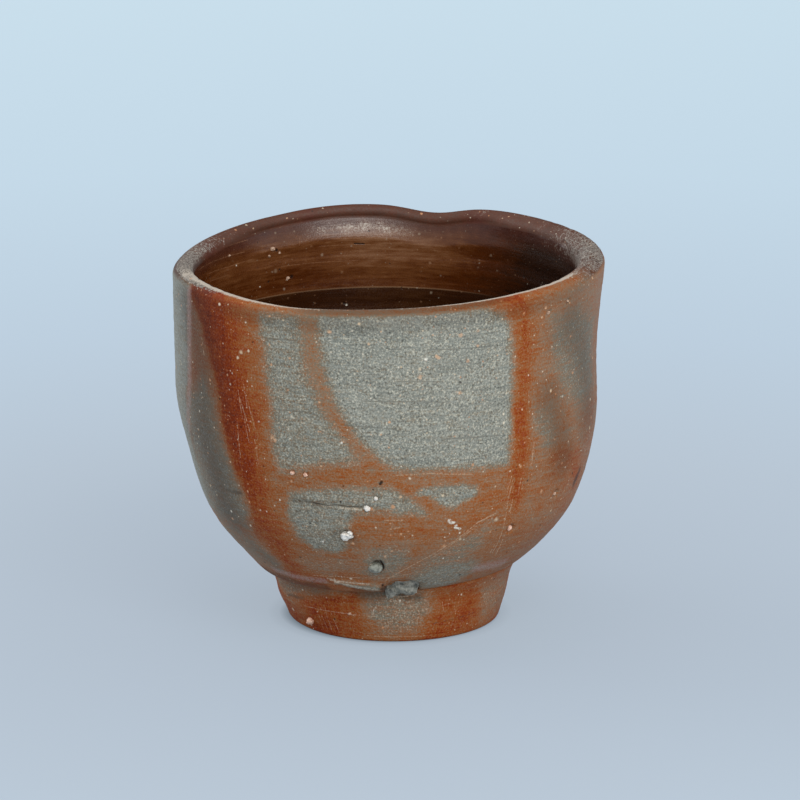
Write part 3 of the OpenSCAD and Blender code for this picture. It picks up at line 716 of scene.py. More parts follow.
print("worked in mm: deepest", push.min().round(2), "highest", push.max().round(2))

# %% [markdown]
# In the fire a stone shrinks less than the clay round it and bursts the skin. So each stone gets a pocket
# with a raised rim. A short crack runs to the small white stone, a torn flap of clay stands off beside the
# broken stone in the joint, and the lower edge is notched where that stone looks out.

# %% Tear the clay round the stones
FLAP_RISE, NOTCH_DEPTH, CRACK_DEPTH, CRACK_LIP, POCKET_LIP = 0.45, 0.7, 0.14, 0.06, 0.06
pockets = [  # direction, z, stone size, pocket's extra width, pocket depth
    (257.2, 20.8, 2.0, 0.4, 0.55), (263.5, 25.9, 1.1, 0.3, 0.35), (266.1, 27.7, 0.8, 0.2, 0.2),
    (242.4, 30.9, 0.9, 0.25, 0.25), (246.4, 30.9, 0.9, 0.25, 0.25), (266.0, 15.2, 2.4, 0.25, 0.7),
    (309, 20.4, 1.0, 0.4, 0.5), (326.2, 24.3, 0.8, 0.4, 0.4), (317, 54.97, 0.8, 0.25, 0.25),
    (325, 55.88, 0.7, 0.25, 0.25)]
torn_flap = [
    (246, 11.3), (251, 11.8), (258.5, 11.7), (266.8, 11.3), (267.3, 10), (263.7, 9.85), (258.6, 10.35),
    (252, 10.9)]
shard_notch = [(267.8, 8), (268.2, 10), (270.8, 11.7), (276, 11.9), (282.3, 10.8), (283.6, 8)]
for direction, z, size, extra, depth in pockets:
    gap = np.linalg.norm(flat - chart(direction, z) + fray * FRAY, axis=-1)
    rim = size / 2 + extra
    push = push - on_wall * depth * smooth(rim, rim * 0.55, gap)
    push = push + on_wall * POCKET_LIP * bump(gap - rim * 1.15, 0.3)
crack, _ = line_distance([(245, 26.3), (254, 26.3), (262.6, 26.15)], flat + fray * 0.2)
crack_edge, _ = line_distance([(253, 25.75), (262, 25.6)], flat + fray * 0.2)
push = push - on_wall * (CRACK_DEPTH * bump(crack, 0.18) - CRACK_LIP * bump(crack_edge, 0.25))
push = push + on_wall * FLAP_RISE * smooth(-0.25, 0.2, inside_shape(torn_flap, flat + fray * FRAY))
push = push - on_wall * NOTCH_DEPTH * smooth(-0.5, 0.4, inside_shape(shard_notch, flat + wobble * 0.3))
points = points + net_normals(points) * push[..., None]
print("clay moved in mm: deepest", push.min().round(2), "highest", push.max().round(2))

# %% [markdown]
# ## From net to mesh
# Blender builds a mesh from points and faces. The net closes on itself round the axis, and a single point
# in the middle of the underside and of the floor closes both ends, so the bowl is one watertight skin.
# Numbers that the finish needs, such as the flash, travel with the points as mesh attributes.

# %% Knit the net
def knit(name, net, numbers, poles=None):
    """A smooth mesh from a net in mm. Poles close both ends; without them the last row joins the first."""
    rows, columns = net.shape[:2]
    at = np.arange(rows * columns).reshape(rows, columns)
    if not poles:
        at = np.concatenate([at, at[:1]])
    nxt = np.roll(at, -1, axis=1)
    faces = np.stack([at[:-1], nxt[:-1], nxt[1:], at[1:]], axis=-1).reshape(-1, 4).tolist()
    corners = net.reshape(-1, 3)
    if poles:
        first, last = len(corners), len(corners) + 1
        corners = np.concatenate([corners, poles])
        faces += [[first, b, a] for a, b in zip(at[0].tolist(), nxt[0].tolist())]
        faces += [[last, a, b] for a, b in zip(at[-1].tolist(), nxt[-1].tolist())]
    mesh = bpy.data.meshes.new(name)
    mesh.from_pydata((corners * MM).tolist(), [], faces)
    for key, values in numbers.items():
        values = (values + np.zeros((rows, columns))).reshape(-1)
        if poles:
            values = np.concatenate([values, values[[0, -1]]])
        mesh.attributes.new(key, "FLOAT", "POINT").data.foreach_set("value", values.astype(np.float32))
    mesh.polygons.foreach_set("use_smooth", [True] * len(mesh.polygons))
    piece = bpy.data.objects.new(name, mesh)
    scene.collection.objects.link(piece)
    return piece


def join_frame(piece, node):
    """Lets a piece stand in for a CAD node and ride on the cup's body."""
    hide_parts(node)
    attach(piece, "root")


numbers = {"flash": flash, "shield": shield, "soot_and_shade": soot_and_shade, "maroon": maroon, "ash": ash, "tone_and_shading": tone_and_shading,
           "outside": skin, "inside": within, "worn": worn}
bowl = knit("bowl_clay", points, numbers, [(0, 0, FOOT_H - DOME_H), (0, 0, FOOT_H + FLOOR_T)])
join_frame(bowl, "bowl")
# Faces from the lip's crest inwards get the inside's finish, but not the fan under the bowl.
crest_row = sum(counts[:2]) + LIP_ROWS // 2
glossy = np.arange(len(bowl.data.polygons)) // len(directions) >= crest_row
glossy[-2 * len(directions):-len(directions)] = False
print("bowl:", len(bowl.data.vertices), "points", len(bowl.data.polygons), "faces,", int(glossy.sum()),
      "of them inside")

# %% [markdown]
# ## The foot ring
# The foot was turned as a ring of its own and luted on. It tapers to the table with a soft swell, has a
# level resting face with two rounded edges and a bore under the cup's floor. The same kind of net makes
# it, but this one closes like a tyre: its last row joins its first. We draw half of its section first.

# %% Draw the foot's section
TURN_STEPS, FACE_STEPS, SIDE_STEPS, TOP_STEPS, BORE_STEPS = 5, 6, 34, 6, 12


def foot_r(z):
    """Radius of the foot's outside at a height."""
    return FOOT_BASE_R + (FOOT_TOP_R - FOOT_BASE_R) * (1 - (1 - np.minimum(z / FOOT_H, 1)) ** FOOT_SWELL)


def rounded(middle_r, turn):
    """A rounded resting edge: an arc of (radius, z) places."""
    return [(middle_r + FOOT_EDGE_R * math.cos(w), FOOT_EDGE_R + FOOT_EDGE_R * math.sin(w)) for w in turn]


def foot_profile():
    """The section, from the inner resting edge over the outside and the top to the bore."""
    turn = np.radians(np.linspace(180, 270, TURN_STEPS))
    inner_edge = rounded(FOOT_BORE_R + FOOT_EDGE_R, turn)
    outer_edge = rounded(float(foot_r(np.array(FOOT_EDGE_R))) - FOOT_EDGE_R, turn + math.pi / 2)
    flat_face = [(r, 0) for r in np.linspace(inner_edge[-1][0], outer_edge[0][0], FACE_STEPS)[1:-1]]
    side = [(float(foot_r(np.array(z))), z) for z in np.linspace(FOOT_EDGE_R, FOOT_H, SIDE_STEPS)[1:]]
    top = [(r, FOOT_H) for r in np.linspace(FOOT_TOP_R, DOME_R, TOP_STEPS)[1:]]
    bore_z = np.linspace(FOOT_H, FOOT_EDGE_R, BORE_STEPS)[1:-1]
    bore = [(FOOT_BORE_R + (DOME_R - FOOT_BORE_R) * z / FOOT_H, z) for z in bore_z]
    return np.array(inner_edge + flat_face + outer_edge + side + top + bore)


profile = foot_profile()
print("foot section:", len(profile), "places")

# %% [markdown]
# Then the section is turned round the axis and the hand's traces are added. Slip was pressed into the
# joint, which leaves a fillet that is widest at the right and missing at the broken stone. The ring sits
# a little to the right of the middle, its lower edge is worn round at the left, and its top leans with the
# joint and curls up where it reaches past the bowl's seat.

# %% Turn the foot
SLIP_W, SLIP_MORE, SLIP_H = 0.6, 0.7, 3.2
FOOT_SHIFT, FOOT_WEAR, FOOT_HANDS = 0.42, 0.5, 0.24
PR, PZ = profile[:, :1], profile[:, 1:]
# Slip, shift and wear fade out towards the bore, which stays round.
near_joint = np.clip((PZ - FOOT_H + SLIP_H) / SLIP_H, 0, 1) ** 2
slip = (SLIP_W + SLIP_MORE * facing(322, 48)) * (1 - facing(276, 10)) * near_joint
FR = PR + slip * np.clip((PR - 15) / 3, 0, 1)
worn_corner = FOOT_WEAR * facing(205, 35) * smooth(5, 1, PZ)
FR = FR + (FOOT_SHIFT * cosd(A) - worn_corner) * np.clip((PR - 13.8) / 1.5, 0, 1)
tilt = FR * cosd(A) * JOINT_RISE
past_seat = np.clip((FR - SEAT_R) / EDGE_ROUND, 0, 0.95) * (PZ > FOOT_H - 0.01)
FZ = PZ + tilt * np.clip(PZ / FOOT_H, 0, 1) + EDGE_ROUND * (1 - np.sqrt(1 - past_seat**2))
foot_points = np.stack([FR * cosd(A), FR * np.sin(np.radians(A)), FZ], axis=-1)
foot_side = (FR > FOOT_BORE_R + 1) * smooth(0.2, 0.9, FZ) * smooth(FOOT_H + 0.6, FOOT_H - 0.3, FZ - tilt)
foot_wheel = layered(foot_points * np.array([0.2, 0.2, 1]), 0.9, 81, 2) - 0.5
foot_hands = layered(foot_points, 6, 91, 2) - 0.5
foot_push = foot_side * (WHEEL_OUT * foot_wheel + FOOT_HANDS * foot_hands)
wrapped = np.concatenate([foot_points[-1:], foot_points, foot_points[:1]])
foot_points = foot_points + net_normals(wrapped)[1:-1] * foot_push[..., None]
foot_points[..., 2] = np.maximum(foot_points[..., 2], 0)
print("foot net:", foot_points.shape[:2])

# %% [markdown]
# The foot's colours work like the bowl's: orange flames left and right, a greyer middle under the broken
# stone, and an olive corner at the left where the foot meets the bowl. Painted shade darkens that corner
# under the bowl's edge, and a painted shadow runs along the foot's top under the torn flap and the stone.

# %% Colour the foot
foot_shields = [  # corners, flash, softness in mm
    ([(257, 10), (289, 10), (291, 6.5), (287, 3.5), (284, 1.4), (265, 1.2), (259, 4)], 0.5, 4.4),
    ([(190, 9.6), (240, 10), (250, 9.3), (236, 7.2), (222, 6), (210, 4.4), (199, 5.6)], 0.62, 2.4),
    ([(316, 9), (345, 10), (350, 2), (322, 1)], 0.72, 2.5),
    ([(60, 9), (120, 9), (110, 1), (70, 1)], 0.55, 2.5),
]
foot_soot_and_shade_lines = [  # path, half width in mm, strength
    # The first line is painted shade under the bowl's edge, the last a painted shadow under the flap and
    # stone.
    ([(204, 8.2), (216, 8.2), (238, 8.8)], 1.8, 0.4),
    ([(206, 5.3), (214, 5.6), (222, 5.5)], 0.2, 0.5),
    ([(245, 9.3), (258, 8.9), (268, 8.4), (284, 8.3)], 0.8, 0.5),
]
FOOT_FLASH, FOOT_WOBBLE = 1.12, 2.6
foot_wobble = np.stack([layered(foot_points, 3, 111), layered(foot_points, 3, 121)], axis=-1) - 0.5
foot_spot = chart(A + 0 * FR, FZ) + foot_wobble * FOOT_WOBBLE
foot_flash = FOOT_FLASH + 0.4 * (layered(foot_points, 7, 101) - 0.5) + 0.22 * facing(236, 16)
for path, level, softness in foot_shields:
    foot_flash = towards(foot_flash, level, cover_of(path, softness, foot_spot))
foot_numbers = {key: 0 * FR for key in numbers}
foot_numbers["flash"] = foot_flash
foot_numbers["shield"] = 0.6 * smooth(0.85, 0.55, foot_flash)
foot_numbers["soot_and_shade"] = soft_lines(foot_soot_and_shade_lines, foot_spot)
foot_numbers["outside"] = foot_side
foot = knit("foot_clay", foot_points, foot_numbers)
join_frame(foot, "foot_ring")
print("foot:", len(foot.data.vertices), "points")

# %% [markdown]
# ## Wiring helpers for the clay
# The clay's finish needs many small sums, so more helpers do a sum, blend two colours, or turn a number
# into a soft step. A socket given as an input becomes a link, and a plain number or colour becomes the
# socket's value. Cycles allows a finish only so many numbers at a time, so none of them uses more nodes
# than it needs.

# %% Make the wiring helpers
def calc(tree, operation, a, b=0.0, c=0.0):
    """One sum of up to three numbers or sockets."""
    return wire(tree, "Math", [(0, a), (1, b), (2, c)], operation=operation).outputs[0]


def hold(tree, value, top=1.0):
    """The number, kept from 0 to the top. Two plain sums need less room than a node's clamp option."""
    return calc(tree, "MINIMUM", calc(tree, "MAXIMUM", value, 0.0), top)


def times(tree, a, b):
    return calc(tree, "MULTIPLY", a, b)


def sway(tree, base, texture, amount):
    """The base number, moved up and down by a texture whose middle is 0.5."""
    return calc(tree, "MULTIPLY_ADD", calc(tree, "SUBTRACT", texture, 0.5), amount, base)


def blend(tree, share, first, second):
    """Goes from the first colour to the second as share goes from 0 to 1."""
    mixer = wire(tree, "Mix", [(0, share), (6, first), (7, second)], data_type="RGBA", clamp_factor=True)
    return mixer.outputs[2]


def step_up(tree, value, low, high, top=1.0):
    """0 below low and top above high; low may be the larger."""
    slope = top / (high - low)
    return hold(tree, calc(tree, "MULTIPLY_ADD", value, slope, -low * slope), top)


def number(tree, name):
    """A number that travels with the mesh."""
    return wire(tree, "Attribute", attribute_name=name).outputs["Fac"]


def cloud(tree, where, scale, detail=2.0, rough=0.6, stretch=(1.0, 1.0, 1.0)):
    """Noise from 0 to 1; a stretch above 1 squeezes it along that axis."""
    placed = wire(tree, "VectorMath", [(0, where), (1, stretch)], operation="MULTIPLY").outputs[0]
    inputs = [("Vector", placed), ("Scale", scale), ("Detail", detail), ("Roughness", rough)]
    return wire(tree, "TexNoise", inputs).outputs["Fac"]


print("helpers ready")

# %% [markdown]
# ## Marks finer than the mesh
# A crack, a scratch or a burnt-out pit can be thinner than the gaps between mesh points. Such marks are
# drawn in the finish itself. The shader works out the same unrolled place in mm that we used for the
# panels, and a small node group measures its distance to a line between two places. A dot is a line
# whose two ends are the same place. Each group also takes the mark before it and keeps the stronger one,
# so a whole chain of marks costs the renderer only one number.

# %% Make the mark group
MARK_FADES, MARK_FULL = 1.35, 0.45


def make_mark_group():
    """A node group that draws one line with soft sides over the marks before it."""
    group = bpy.data.node_groups.new("mark_on_clay", "ShaderNodeTree")
    vectors, floats = ("Place", "Start", "End"), ("Half width", "Length squared", "Before")
    for name in vectors + floats:
        socket = "NodeSocketVector" if name in vectors else "NodeSocketFloat"
        group.interface.new_socket(name, in_out="INPUT", socket_type=socket)
    group.interface.new_socket("Mark", in_out="OUTPUT", socket_type="NodeSocketFloat")
    given = group.nodes.new("NodeGroupInput").outputs
    result = group.nodes.new("NodeGroupOutput").inputs

    def vector(operation, a, b):
        return wire(group, "VectorMath", [(0, a), (1, b)], operation=operation).outputs

    run = vector("SUBTRACT", given["End"], given["Start"])[0]
    here = vector("SUBTRACT", given["Place"], given["Start"])[0]
    dot = vector("DOT_PRODUCT", here, run)["Value"]
    share = hold(group, calc(group, "DIVIDE", dot, given["Length squared"]))
    nearest = wire(group, "VectorMath", [(0, run), ("Scale", share)], operation="SCALE").outputs[0]
    gap = vector("DISTANCE", here, nearest)["Value"]
    mark = step_up(group, calc(group, "DIVIDE", gap, given["Half width"]), MARK_FADES, MARK_FULL)
    group.links.new(calc(group, "MAXIMUM", mark, given["Before"]), result["Mark"])
    return group


mark_group = make_mark_group()
print("mark group has", len(mark_group.nodes), "nodes")

# %% [markdown]
# A path with several corners is drawn as one group for each of its stretches. The first group has nothing
# before it, and the last one gives the strongest mark of them all.

# %% Chain the marks
def draw_marks(tree, place, paths):
    """The strongest of many marks: paths of (direction, z) corners, each with a half width in mm."""
    strongest = None
    for half_width, path in paths:
        ends = [(*chart(d, z), 0.0) for d, z in path]
        for p, q in zip(ends, ends[1:] or ends):
            length = max(sum((a - b) ** 2 for a, b in zip(p, q)), 1e-6)
            mark = tree.nodes.new("ShaderNodeGroup")
            mark.node_tree = mark_group
            tree.links.new(place, mark.inputs["Place"])
            for key, value in (("Start", p), ("End", q), ("Half width", half_width),
                               ("Length squared", length)):
                mark.inputs[key].default_value = value
            if strongest:
                tree.links.new(strongest, mark.inputs["Before"])
            strongest = mark.outputs[0]
    return strongest


print("chain of marks ready")

# %% [markdown]
# ## The clay's colours and marks
# The ramps hold the clay's own colours: one for the flash outside, one for the bare inside. The marks are
# written as a half width and a path each: the crack and pits drawn dark as painted shade, with painted
# shadows above the pebble and beside the broken stone, the faint wheel scores that noise breaks up later,
# the pale scratches, scrapes and specks that handling and sand left, some of them painted as glints, the
# bright edges of torn clay, and painted lilac sheen beside the ash on the left, along the bowl's lower edge
# at the left and on the joint's fillet at the right.

# %% Choose the clay colours and the bowl's marks
flash_colours = [
    (0.0, (146, 148, 139)), (0.15, (139, 136, 124)), (0.32, (128, 120, 103)), (0.5, (138, 114, 91)),
    (0.66, (149, 113, 86)), (0.8, (148, 101, 67)), (1.0, (152, 88, 40)), (1.2, (149, 72, 24)),
    (1.4, (140, 53, 9)), (1.6, (124, 42, 7)), (2.0, (92, 29, 9))]
inside_colours = [
    (0.0, (5, 1, 1)), (0.35, (40, 18, 5)), (0.7, (78, 35, 5)), (0.9, (108, 64, 32)),
    (1.2, (152, 112, 82))]
bowl_marks = {
    # The crack is drawn dark as painted shade in its groove.
    "crack": [(0.09, [(248, 26.3), (252, 26.1), (255, 26.3), (259, 26.15), (262.2, 26.2)])],
    "edge": [(0.26, [(245.8, 11.75), (250.5, 11.4)]), (0.2, [(250.5, 11.4), (255.2, 10.85),
      (260.2, 10.55), (265, 10.2)]), (0.1, [(246, 11.7), (251, 11.6), (256.3, 11.5), (262, 11.4)]),
      (0.1, [(256, 25.85), (262, 25.7)])],
    # Dark marks are painted shade in pits and in the crevice beside the broken stone, and a painted shadow
    # above the pebble.
    "dark": [(0.25, [(267.4, 30.2), (267.75, 30.5)]), (0.14, [(265.4, 29.2)]), (0.15, [(256.2, 26.9)]),
      (0.26, [(267.2, 11.1)]), (0.18, [(268.1, 10.7)]), (0.16,
      [(266.9, 16), (267.8, 15.4), (267.8, 14.8)]), (0.1, [(268.6, 9.3), (270.6, 9.0)])],
    "faint": [(0.13, [(235.5, 52.3), (239, 52.4), (245, 52.6)]), (0.1,
      [(263.5, 43.7), (275, 43.6), (286, 43.2)]), (0.1, [(272, 46.9), (284, 46.6)]),
      (0.12, [(258, 39.7), (268, 39.4)]), (0.1, [(280, 51.8), (299, 51.4)]),
      (0.1, [(238, 41.2), (247, 41.3)]), (0.12, [(284, 37.3), (301, 36.9)])],
    "pale_mark_and_glint": [(0.08, [(306.4, 29), (305.5, 25.7), (306.2, 18.5), (306.3, 16)]), (0.14,
      [(313.2, 35), (312.9, 33.3), (312.6, 31)]), (0.24, [(312.6, 30.9)]),
      (0.1, [(305.8, 29.7), (304.8, 27.2)]), (0.1, [(309.4, 29), (309, 26.4)]),
      (0.1, [(307.3, 25.7), (306.9, 23.6)]), (0.11, [(307.6, 19.3), (308.5, 15.4)]),
      (0.09, [(305.2, 17.7), (305.2, 16.2)]), (0.13, [(302, 23.8), (296.4, 22.7), (289.9, 19.7),
      (282.9, 17.1)]), (0.11, [(282.9, 17.1), (272.4, 13.6), (268.1, 12)]),
      # The short upright strokes at directions 225 to 232 are scratches painted pale as glints.
      (0.09, [(296, 22), (284, 16.8)]), (0.09, [(226.8, 41.6), (229.6, 36.6)]),
      (0.07, [(229.4, 41.7), (231.6, 37.1)]), (0.08, [(225.2, 37.2), (225.1, 31.8)]),
      (0.07, [(226.1, 43), (227.2, 38.5)]), (0.07, [(228.2, 44.2), (229.2, 40.5)]),
      (0.06, [(227.8, 39), (229, 34.5)]), (0.06, [(231, 35.5), (231.6, 31.5)]),
      (0.08, [(211, 49.5), (212, 47)]), (0.08, [(270, 31.6), (281, 31.8), (293, 31.1)]),
      (0.12, [(268.5, 24), (273.5, 24)]), (0.09, [(269.5, 22.4), (273, 22.7)]), (0.08, [(239.5, 12.1),
      (253.2, 12.55), (268.2, 12.7), (277.2, 13.5)])],
    # A painted sheen along the left edge beside the ash, and painted lilac sheen on the bowl's lower edge
    # at the left and on the fillet at the right.
    "painted_edge_sheen": [(0.9, [(203.4, 56), (203.4, 50), (202.6, 44.5), (201.2, 38.1), (197.8, 33)])],
    "painted_lilac_sheen": [(0.55, [(218, 11.2), (229, 11), (237, 11), (244, 11.2)]), (0.9,
      [(303, 13.2), (310.5, 12.9), (318, 12.9)])],
    "white": [(0.3, [(287.3, 23.5)]), (0.22, [(287.6, 23.2), (288.8, 23.1)]), (0.26, [(289.5, 22.5)]),
      (0.17, [(289.2, 22.2), (291, 21.9)]), (0.3, [(279.4, 50.3)]), (0.22, [(249.3, 19.5)]),
      (0.2, [(257.2, 36.8)]), (0.16, [(252, 12.6)]), (0.15, [(287.7, 16.4)])],
    "peach": [(0.42, [(237.2, 36.3)]), (0.3, [(237.9, 36.0)]), (0.34, [(288.8, 53.8)]),
      (0.22, [(293.6, 54.2)]), (0.26, [(293.7, 51.8)]), (0.24, [(282.2, 50.7), (283, 50.4)]),
      (0.32, [(278, 47.5)]), (0.3, [(288.9, 44.5)]), (0.3, [(318.5, 25.7)]), (0.34, [(254.3, 54.5)]),
      (0.3, [(303.6, 52.2)]), (0.3, [(268.6, 17.2)]), (0.26, [(258.8, 19.6)]), (0.26, [(315.5, 56)]),
      (0.2, [(301.4, 20.6)])],
}
print(len(flash_colours), "flash colours,", sum(len(v) for v in bowl_marks.values()), "marks on the bowl")

# %% [markdown]
# The inside has fine level scores, three burnt-out pits and a crease drawn dark as painted shade, and a few
# white grains. The foot has scratches at the left, where it was set down most, a painted shadow under the
# broken stone with a painted highlight along its lower edge, and small grains of its own.

# %% Write down the other marks
inside_marks = {
    "inner": [(0.07, [(174, 55.9), (160, 55.8), (137, 55.5)]),
      (0.06, [(168, 54.4), (149, 54), (139, 53.8)]), (0.06, [(160, 52.6), (146, 52.2), (136, 52.3)]),
      (0.07, [(158, 51.2), (147, 50.9)]), (0.09, [(108, 53.8), (94, 53.6)]),
      (0.07, [(118.2, 54.3), (118.5, 53.2)]), (0.06, [(112, 52.7), (93, 52.5)]),
      (0.05, [(125, 50.2), (100, 50)])],
    # Painted shade in a crease below the lip and in three pits.
    "dark": [(0.12, [(101, 52.8), (98, 52.7)]), (0.22, [(104.4, 43.1)]), (0.3, [(126.5, 53)]),
      (0.32, [(121.4, 48.3)])],
    "white": [(0.2, [(103.6, 42.8)]), (0.14, [(143, 52)]), (0.14, [(133, 47.5)])],
}
foot_marks = {
    # A painted shadow under the broken stone.
    "dark": [(0.16, [(268.2, 8.9), (269.5, 8.6)])],
    "faint": [(0.1, [(206.4, 5.3), (221.9, 5.5)]), (0.1, [(292, 3), (318, 3.6)])],
    "pale_mark_and_glint": [(0.08, [(220.9, 4.45), (244.4, 4.65), (265, 4.5)]), (0.09, [(230.7, 4.4), (230.4, 0.9)]),
      (0.08, [(235.5, 5), (236.7, 1.2)]), (0.09, [(238.8, 4.5), (241.4, 0.9)]),
      # The pale line at directions 269 to 282 is a painted highlight along the broken stone's lower edge.
      (0.07, [(232.5, 3.4), (233.8, 1)]), (0.12, [(269.5, 8.15), (276, 7.95), (281.5, 8.3)]),
      (0.08, [(258, 1), (290, 0.9)]), (0.08, [(296, 6.6), (297.5, 4.8)]),
      (0.08, [(303, 5.6), (304.5, 4)])],
    "white": [(0.2, [(262, 5.5)])],
    # A painted highlight on the broken stone's lower left edge.
    "edge": [(0.2, [(269, 8.55), (270.8, 8.3), (273, 8.35)])],
    "peach": [(0.2, [(274, 3)]), (0.2, [(300, 6.8)]), (0.16, [(247, 6.6)]), (0.2, [(215, 5.9)])],
}
print(sum(len(v) for v in inside_marks.values()), "marks inside,",
      sum(len(v) for v in foot_marks.values()), "on the foot")

# %% [markdown]
# ## The clay's finish
# Fired sandy clay is many things at once: flashed colour, level wheel lines, salt-like grains in the ash,
# cream and pink specks of feldspar, black iron spots and small pits. Each is one procedural texture at
# its real size. First come the specks: a Voronoi texture has one cell for each grain of sand, and its
# random colour decides whether the grain shows, how large it is and which hue it has.

# %% Scatter specks
STIR = 0.22 * MM


def clay_place(tree, where):
    """The unrolled place in mm, as a vector."""
    x, y, z = wire(tree, "SeparateXYZ", [(0, where)]).outputs
    turn = calc(tree, "ARCTAN2", x, times(tree, y, -1.0))
    sideways, height = times(tree, turn, CHART_R), times(tree, z, 1 / MM)
    return wire(tree, "CombineXYZ", [(0, sideways), (1, height)]).outputs[0]


def speckle(tree, where, per_metre, radius, keep):
    """Scattered ragged dots of mixed sizes: how strongly a dot covers the point, and each dot's own hue."""
    stir = wire(tree, "TexNoise", [("Vector", where), ("Scale", 3000.0),
                                   ("Detail", 1.0)]).outputs["Color"]
    stirred = [(0, stir), (1, (STIR, STIR, STIR)), (2, where)]
    ragged = wire(tree, "VectorMath", stirred, operation="MULTIPLY_ADD").outputs[0]
    cells = wire(tree, "TexVoronoi", [("Vector", ragged), ("Scale", per_metre)])
    pick, hue, size = wire(tree, "SeparateColor", [(0, cells.outputs["Color"])]).outputs
    reach = calc(tree, "MULTIPLY_ADD", times(tree, size, size), radius, 0.5 * radius)
    dot = step_up(tree, calc(tree, "DIVIDE", cells.outputs["Distance"], reach), 1.25, 0.6)
    return times(tree, dot, calc(tree, "LESS_THAN", pick, keep)), hue


print("specks ready")

# %% [markdown]
# The outside's colour is the flash through its ramp. Wheel lines, mottling and grain move the flash up and
# down first, so the colour changes along the ramp as it does in a kiln, and does not just get darker.
# Flames also leave upright fibres. Then level bands, pale salt and dark grains come over the ash, and soot
# and painted shade last.

# %% Colour the outside
ASH_BAND_DARK, ASH_BAND_LIGHT = (94, 96, 88), (172, 172, 160)
SALT_LIGHT, SALT_DARK, SOOT_AND_SHADE = (210, 204, 184), (66, 62, 52), (58, 44, 33)


def flash_colour(tree, point, tex):
    """The flash, stirred by the textures and, where the flame ran, by upright fibres."""
    heat = point["flash"]
    for key, amount in (("lines", 0.7), ("scores", 0.75), ("mottle", 0.4), ("grain", 1.4)):
        heat = sway(tree, heat, tex[key], amount)
    flamed = step_up(tree, point["flash"], 0.95, 1.2, 0.8)
    upright = times(tree, calc(tree, "SUBTRACT", tex["fibres"], 0.5), flamed)
    return ramp(tree, calc(tree, "ADD", heat, upright), flash_colours)


def ash_salt(tree, colour, point, tex):
    """Level bands in the ash, pale and dark grains everywhere outside but most in the ash, soot and painted
    shade.
    """
    shield = point["shield"]
    dust = times(tree, calc(tree, "MULTIPLY_ADD", shield, 0.84, 0.16), point["outside"])
    layers = [  # texture, its value where the layer sets in and where it is full, strength, limit, colour
        ("lines", 0.5, 0.3, 0.5, shield, ASH_BAND_DARK),
        ("lines", 0.52, 0.72, 0.4, shield, ASH_BAND_LIGHT),
        ("salt", 0.53, 0.71, 0.85, dust, SALT_LIGHT),
        ("salt", 0.47, 0.29, 0.75, dust, SALT_DARK)]
    for key, low, high, strength, limit, tint in layers:
        share = times(tree, step_up(tree, tex[key], low, high, strength), limit)
        colour = blend(tree, share, colour, linear(*tint))
    # Soot, with the painted shade that shares its number.
    return blend(tree, point["soot_and_shade"], colour, linear(*SOOT_AND_SHADE))


print("outside colours ready")

# %% [markdown]
# Inside, the tone goes through its own ramp, with the painted light and shade that it carries. A thrown
# ring shows as a fine pale line, a painted highlight where the tone is light, with painted shade below it.
# The maroon, the ash, the wear and the painted sheen of the lip come over both sides. Noise added to the
# ash and to the wear and sheen before a steep step gives them ragged edges.

# %% Colour the inside and the lip
RING_Z, RING_FADES, RING_FULL = 45.6, 0.15, 0.05
# The pale colour serves both the wear and the painted sheen inside the back of the lip.
BELOW_RING_SHADE, RING_LIGHT, PALE_WEAR_AND_SHEEN = (24, 13, 4), (158, 124, 94), (197, 187, 173)
MAROON_DARK, MAROON_LIGHT = (50, 22, 19), (88, 48, 36)
ash_colours = [(0.0, (40, 34, 30)), (0.38, (84, 77, 71)), (0.55, (140, 133, 125)), (1.0, (214, 206, 196))]


def inside_colour(tree, point, tex, where):
    """The bare inside, the ring's pale line as a painted highlight, and painted shade below the ring."""
    heat = sway(tree, sway(tree, point["tone_and_shading"], tex["lines"], 0.5), tex["mottle"], 0.2)
    inner = ramp(tree, sway(tree, heat, tex["scores"], 0.32), inside_colours)
    z = times(tree, wire(tree, "SeparateXYZ", [(0, where)]).outputs[2], 1 / MM)
    from_ring = calc(tree, "SUBTRACT", z, RING_Z)
    # Painted shade of the deep inside, below the ring.
    inner = blend(tree, step_up(tree, from_ring, 0.06, -0.06, 0.66), inner, linear(*BELOW_RING_SHADE))
    # The ring's pale line is a painted highlight, kept to where the tone is light.
    ring = step_up(tree, calc(tree, "ABSOLUTE", from_ring), RING_FADES, RING_FULL, 0.6)
    lit = times(tree, ring, step_up(tree, point["tone_and_shading"], 0.5, 0.85))
    return blend(tree, lit, inner, linear(*RING_LIGHT))


def lip_colour(tree, colour, point, tex):
    """The maroon back of the lip, the rough ash on its ends, worn pale clay and a painted sheen at the
    back.
    """
    maroon = blend(tree, tex["mottle"], linear(*MAROON_DARK), linear(*MAROON_LIGHT))
    colour = blend(tree, times(tree, point["maroon"], 0.85), colour, maroon)
    ragged = sway(tree, sway(tree, point["ash"], tex["salt"], 1.2), tex["mottle"], 0.6)
    colour = blend(tree, step_up(tree, ragged, 0.3, 0.55), colour, ramp(tree, tex["salt"], ash_colours))
    # Wear, and the painted sheen inside the back of the lip.
    rubbed_and_sheen = sway(tree, sway(tree, point["worn"], tex["salt"], 0.9), tex["mottle"], 0.5)
    return blend(tree, step_up(tree, rubbed_and_sheen, 0.3, 0.6, 0.85), colour, linear(*PALE_WEAR_AND_SHEEN))


print("inside and lip colours ready")

# %% [markdown]
# The clay's textures are noise at the size of the real thing, from sand grains to the broad wheel lines,
# which are noise squeezed flat. They are listed once, with the specks and the looks of the drawn marks.
# Then one function layers the clay's colour from all of them.

